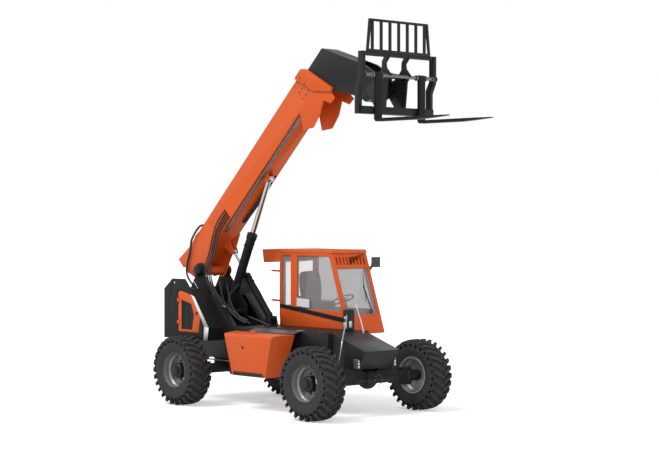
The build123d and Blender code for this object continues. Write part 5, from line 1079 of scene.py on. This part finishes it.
@dataclass
class Boom:
    """Telescopic boom with its collar, head, pipes, pins, cylinders and hoses."""

    skins: Skins = (
        ("boom_base", 0.005, ORANGE, 2), ("boom_collar", 0.004, ORANGE, 2),
        ("boom_inner", 0.006, BLACK, 2), ("boom_lines", 0.002, STEEL, 2),
        ("lift_barrel slave_barrel tilt_barrel", 0.003, BLACK_FLAT, 2),
        ("lift_rod slave_rod tilt_rod", 0.003, CHROME, 2),
    )
    pivot_cap: Profile = ((0.0, 0.014), (0.06, 0.014), (0.078, 0.004), (0.08, -0.012), (0.0, -0.012))
    cap_y: float = 0.335
    cap_bolt_y: float = 0.347
    cap_bolt_size: Pair = (0.009, 0.008)
    mouth_y: float = 0.2215
    mouth_bolts_along: Triple = (3.62, 3.7, 3.78)
    mouth_bolts_high: Triple = (0.18, 0.32, 0.46)
    mouth_bolt_size: Pair = (0.012, 0.006)
    head_cap: Profile = ((0.0, 0.012), (0.03, 0.012), (0.036, 0.004), (0.036, -0.004), (0.0, -0.004))
    head_pin: Pair = (4.6866, -0.7819)
    head_y: float = 0.18
    cylinders: tuple[Cylinder, ...] = (
        Cylinder("lift", Body.LIFT_BARREL, (-2.044, -0.04, 1.4), on_boom(2.07, 0.03, -0.04), 0.074, 1.387),
        Cylinder("levelling", Body.LEVEL_BARREL, (-1.195, 0.118, 1.322), on_boom(0.507, -0.07, 0.118), 0.052,
                 0.905),
    )
    bundle: int = 4
    bundle_pitch: float = 0.048
    bundle_bend: Span = ((-2.2, -0.3, 1.92), (-2.08, -0.25, 2.46))
    tail_hose: Route = (
        on_boom(0.52, 0.515, -0.15), on_boom(0.52, 0.54, -0.215), on_boom(0.4, 0.556, -0.236),
        (-2.77, -0.244, 2.54), (-2.765, -0.246, 2.42), (-2.83, -0.248, 2.24), (-2.875, -0.25, 2.11),
        (-2.868, -0.252, 1.99), (-2.8, -0.255, 1.9), (-2.72, -0.26, 1.84),
    )
    tail_bend: Span = ((-2.86, -0.25, 2.02), (-2.76, -0.25, 2.52))
    # Hoses under the boom: their places across it, and each point's distances along and square to it
    under_y: Triple = (0.1, 0.13, 0.16)
    under_line: Profile = ((1.0, 0.112), (1.25, 0.088), (1.6, 0.086), (1.9, 0.096), (2.05, 0.108))

    def build(self) -> None:
        """Dress the boom and its cylinders."""
        soften_all(self.skins)
        self.build_pivot()
        self.build_collar()
        for cylinder in self.cylinders:
            cylinder.build()
        self.build_hoses()

    def build_pivot(self) -> None:
        """Cap the pivot pin on both sides."""
        shape = Shape()
        for side in SIDES:
            out = (0, side, 0)
            shape.lathe(self.pivot_cap, (PIVOT_X, side * self.cap_y, PIVOT_Z), out, 0, 48)
            face = (PIVOT_X, side * self.cap_bolt_y, PIVOT_Z)
            shape.nut_circle(face, out, 0.045, 4, self.cap_bolt_size, 0, 0.4)
        shape.finish("pivot_caps", (BLACK,), 0.002)

    def build_collar(self) -> None:
        """Bolt the wear pads to the boom's mouth and cap the head's pin."""
        shape = Shape()
        for side in SIDES:
            for along in self.mouth_bolts_along:
                spots = [on_boom(along, high, side * self.mouth_y) for high in self.mouth_bolts_high]
                shape.nuts(spots, (0, side, 0), self.mouth_bolt_size)
        shape.finish("collar_bolts", (BLACK,), body=Body.BOOM)
        head = Shape()
        for side in SIDES:
            head.lathe(self.head_cap, on_boom(*self.head_pin, side * self.head_y), (0, side, 0), 0, 32)
        head.finish("head_pin_caps", (STEEL,), body=Body.CARRIAGE)

    def build_hoses(self) -> None:
        """Lead the hose bundle over the pivot, the thick hose behind the boom and the hoses under it."""
        bundle = []
        for k in range(self.bundle):
            y = -0.236 - 0.004 * (k % 2)
            step = self.bundle_pitch * k
            bundle.append((
                on_boom(1.1, 0.15 + step, -0.212), on_boom(0.95, 0.14 + step, y),
                on_boom(0.72, 0.1 + step, y - 0.006), (-2.125 - step, -0.262, 2.36),
                (-2.185 - step, -0.285, 2.2), (-2.2 - step, -0.3, 2.02), (-2.13 - step * 0.8, -0.306, 1.84),
                (-1.98 - step * 0.6, -0.306, 1.64), (-1.86 - step * 0.5, -0.3, 1.52),
            ))
        add_hoses("pivot_hoses", bundle, 0.0115, HOSE, bend=self.bundle_bend)
        add_hoses("tail_hose", (self.tail_hose,), 0.017, HOSE, bend=self.tail_bend)
        under = [tuple(on_boom(along, high, y) for along, high in self.under_line) for y in self.under_y]
        add_hoses("underside_hoses", under, 0.011, HOSE, Body.BOOM)


@dataclass
class Carriage:
    """Fork carriage: frame, backrest, forks and the shaft that carries them."""

    skins: Skins = (("carriage backrest", 0.004, BLACK, 2), ("forks", 0.003, BLACK_FLAT, 2))
    shaft_x: float = 1.758
    shaft_z: float = 4.965
    shaft_half: float = 0.69
    shaft_radius: float = 0.0256
    collars_y: Triple = (0.35, 0.54, 0.69)
    collar: Profile = ((0.026, -0.014), (0.04, -0.014), (0.04, 0.014), (0.026, 0.014))

    def build(self) -> None:
        """Dress the carriage and add the fork shaft with its collars."""
        soften_all(self.skins)
        shape = Shape()
        x, z = self.shaft_x, self.shaft_z
        for side in SIDES:
            for y in self.collars_y:
                shape.lathe(self.collar, (x, side * y, z), (0, side, 0), 0, 32)
        shape.rod((x, -self.shaft_half, z), (x, self.shaft_half, z), self.shaft_radius, 0, 32)
        shape.finish("fork_shaft_collars", (STEEL,), body=Body.CARRIAGE)


@dataclass
class Studio:
    """Camera at the photograph's place, soft lamps, a white world and a pale floor."""

    eye: Triple = (19.8016, -18.22, 2.9975)
    target: Triple = (0.2769, 0.0, 2.6901)
    roll: float = 0.0258
    lens: float = 96.55
    # Name, turn, strength and spread of each lamp
    lamps: tuple[tuple[str, Triple, float, float], ...] = (
        ("key", (28.0, -18.0, 20.0), 1.9, 26.0),
        ("front", (62.0, 0.0, 62.0), 0.75, 40.0),
    )
    sky_light: float = 0.62
    floor_size: float = 90.0
    floor_glow: float = 0.42

    def add_camera(self) -> None:
        """Place the camera."""
        data = bpy.data.cameras.new("camera")
        data.lens = self.lens
        data.sensor_width = 36.0
        data.clip_start, data.clip_end = 0.1, 500.0
        camera = add_object("camera", data)
        look = (Vector(self.target) - Vector(self.eye)).to_track_quat("-Z", "Y").to_matrix().to_4x4()
        roll = Matrix.Rotation(math.radians(self.roll), 4, "Z")
        camera.matrix_world = Matrix.Translation(self.eye) @ look @ roll
        bpy.context.scene.camera = camera

    def add_lamps(self) -> None:
        """Hang one soft key from above and one weak fill in front."""
        for name, turn, power, spread in self.lamps:
            data = bpy.data.lights.new(name, "SUN")
            data.energy = power
            data.angle = math.radians(spread)
            add_object(name, data).rotation_euler = [math.radians(v) for v in turn]

    def add_world(self) -> None:
        """Give a world that is white to the camera and softer as light."""
        world = bpy.data.worlds.new("studio")
        bpy.context.scene.world = world
        world.use_nodes = True
        wiring = Wiring(world.node_tree)
        level = wiring.add("MapRange", {"Value": wiring.seen(), "To Min": self.sky_light}).outputs["Result"]
        wiring.feed(world.node_tree.nodes["Background"], {"Color": (1.0, 1.0, 1.0, 1.0), "Strength": level})

    def add_floor(self) -> None:
        """Lay a pale floor that keeps the shadow and is white where it is lit."""
        bm = bmesh.new()
        bmesh.ops.create_grid(bm, x_segments=1, y_segments=1, size=self.floor_size)
        floor = link_mesh(bm, "floor", ())
        paint = bpy.data.materials.new("pale_floor")
        paint.use_nodes = True
        wiring = Wiring(paint.node_tree)
        wiring.feed(paint.node_tree.nodes["Principled BSDF"], {
            "Base Color": (0.8, 0.8, 0.8, 1.0),
            "Roughness": 0.9, "Specular IOR Level": 0.1,
            "Emission Color": (1.0, 1.0, 1.0, 1.0),
            "Emission Strength": wiring.math("MULTIPLY", wiring.seen(), self.floor_glow),
        })
        floor.data.materials.append(paint)

    def build(self) -> None:
        """Set up the whole studio."""
        self.add_camera()
        self.add_lamps()
        self.add_world()
        self.add_floor()
        bpy.context.scene.view_settings.view_transform = "Standard"


def main() -> None:
    """Build every sub-assembly in order."""
    logging.basicConfig(level=logging.INFO, format="%(message)s")
    Studio().build()
    for name, x in (("front", FRONT_X), ("rear", REAR_X)):
        for word, side in (("right", -1), ("left", 1)):
            Wheel(f"{name}_{word}", x, side).build()
    for part in (RearCover(), Chassis(), Cab(), Boom(), Carriage()):
        part.build()


if __name__ == "__main__":
    main()
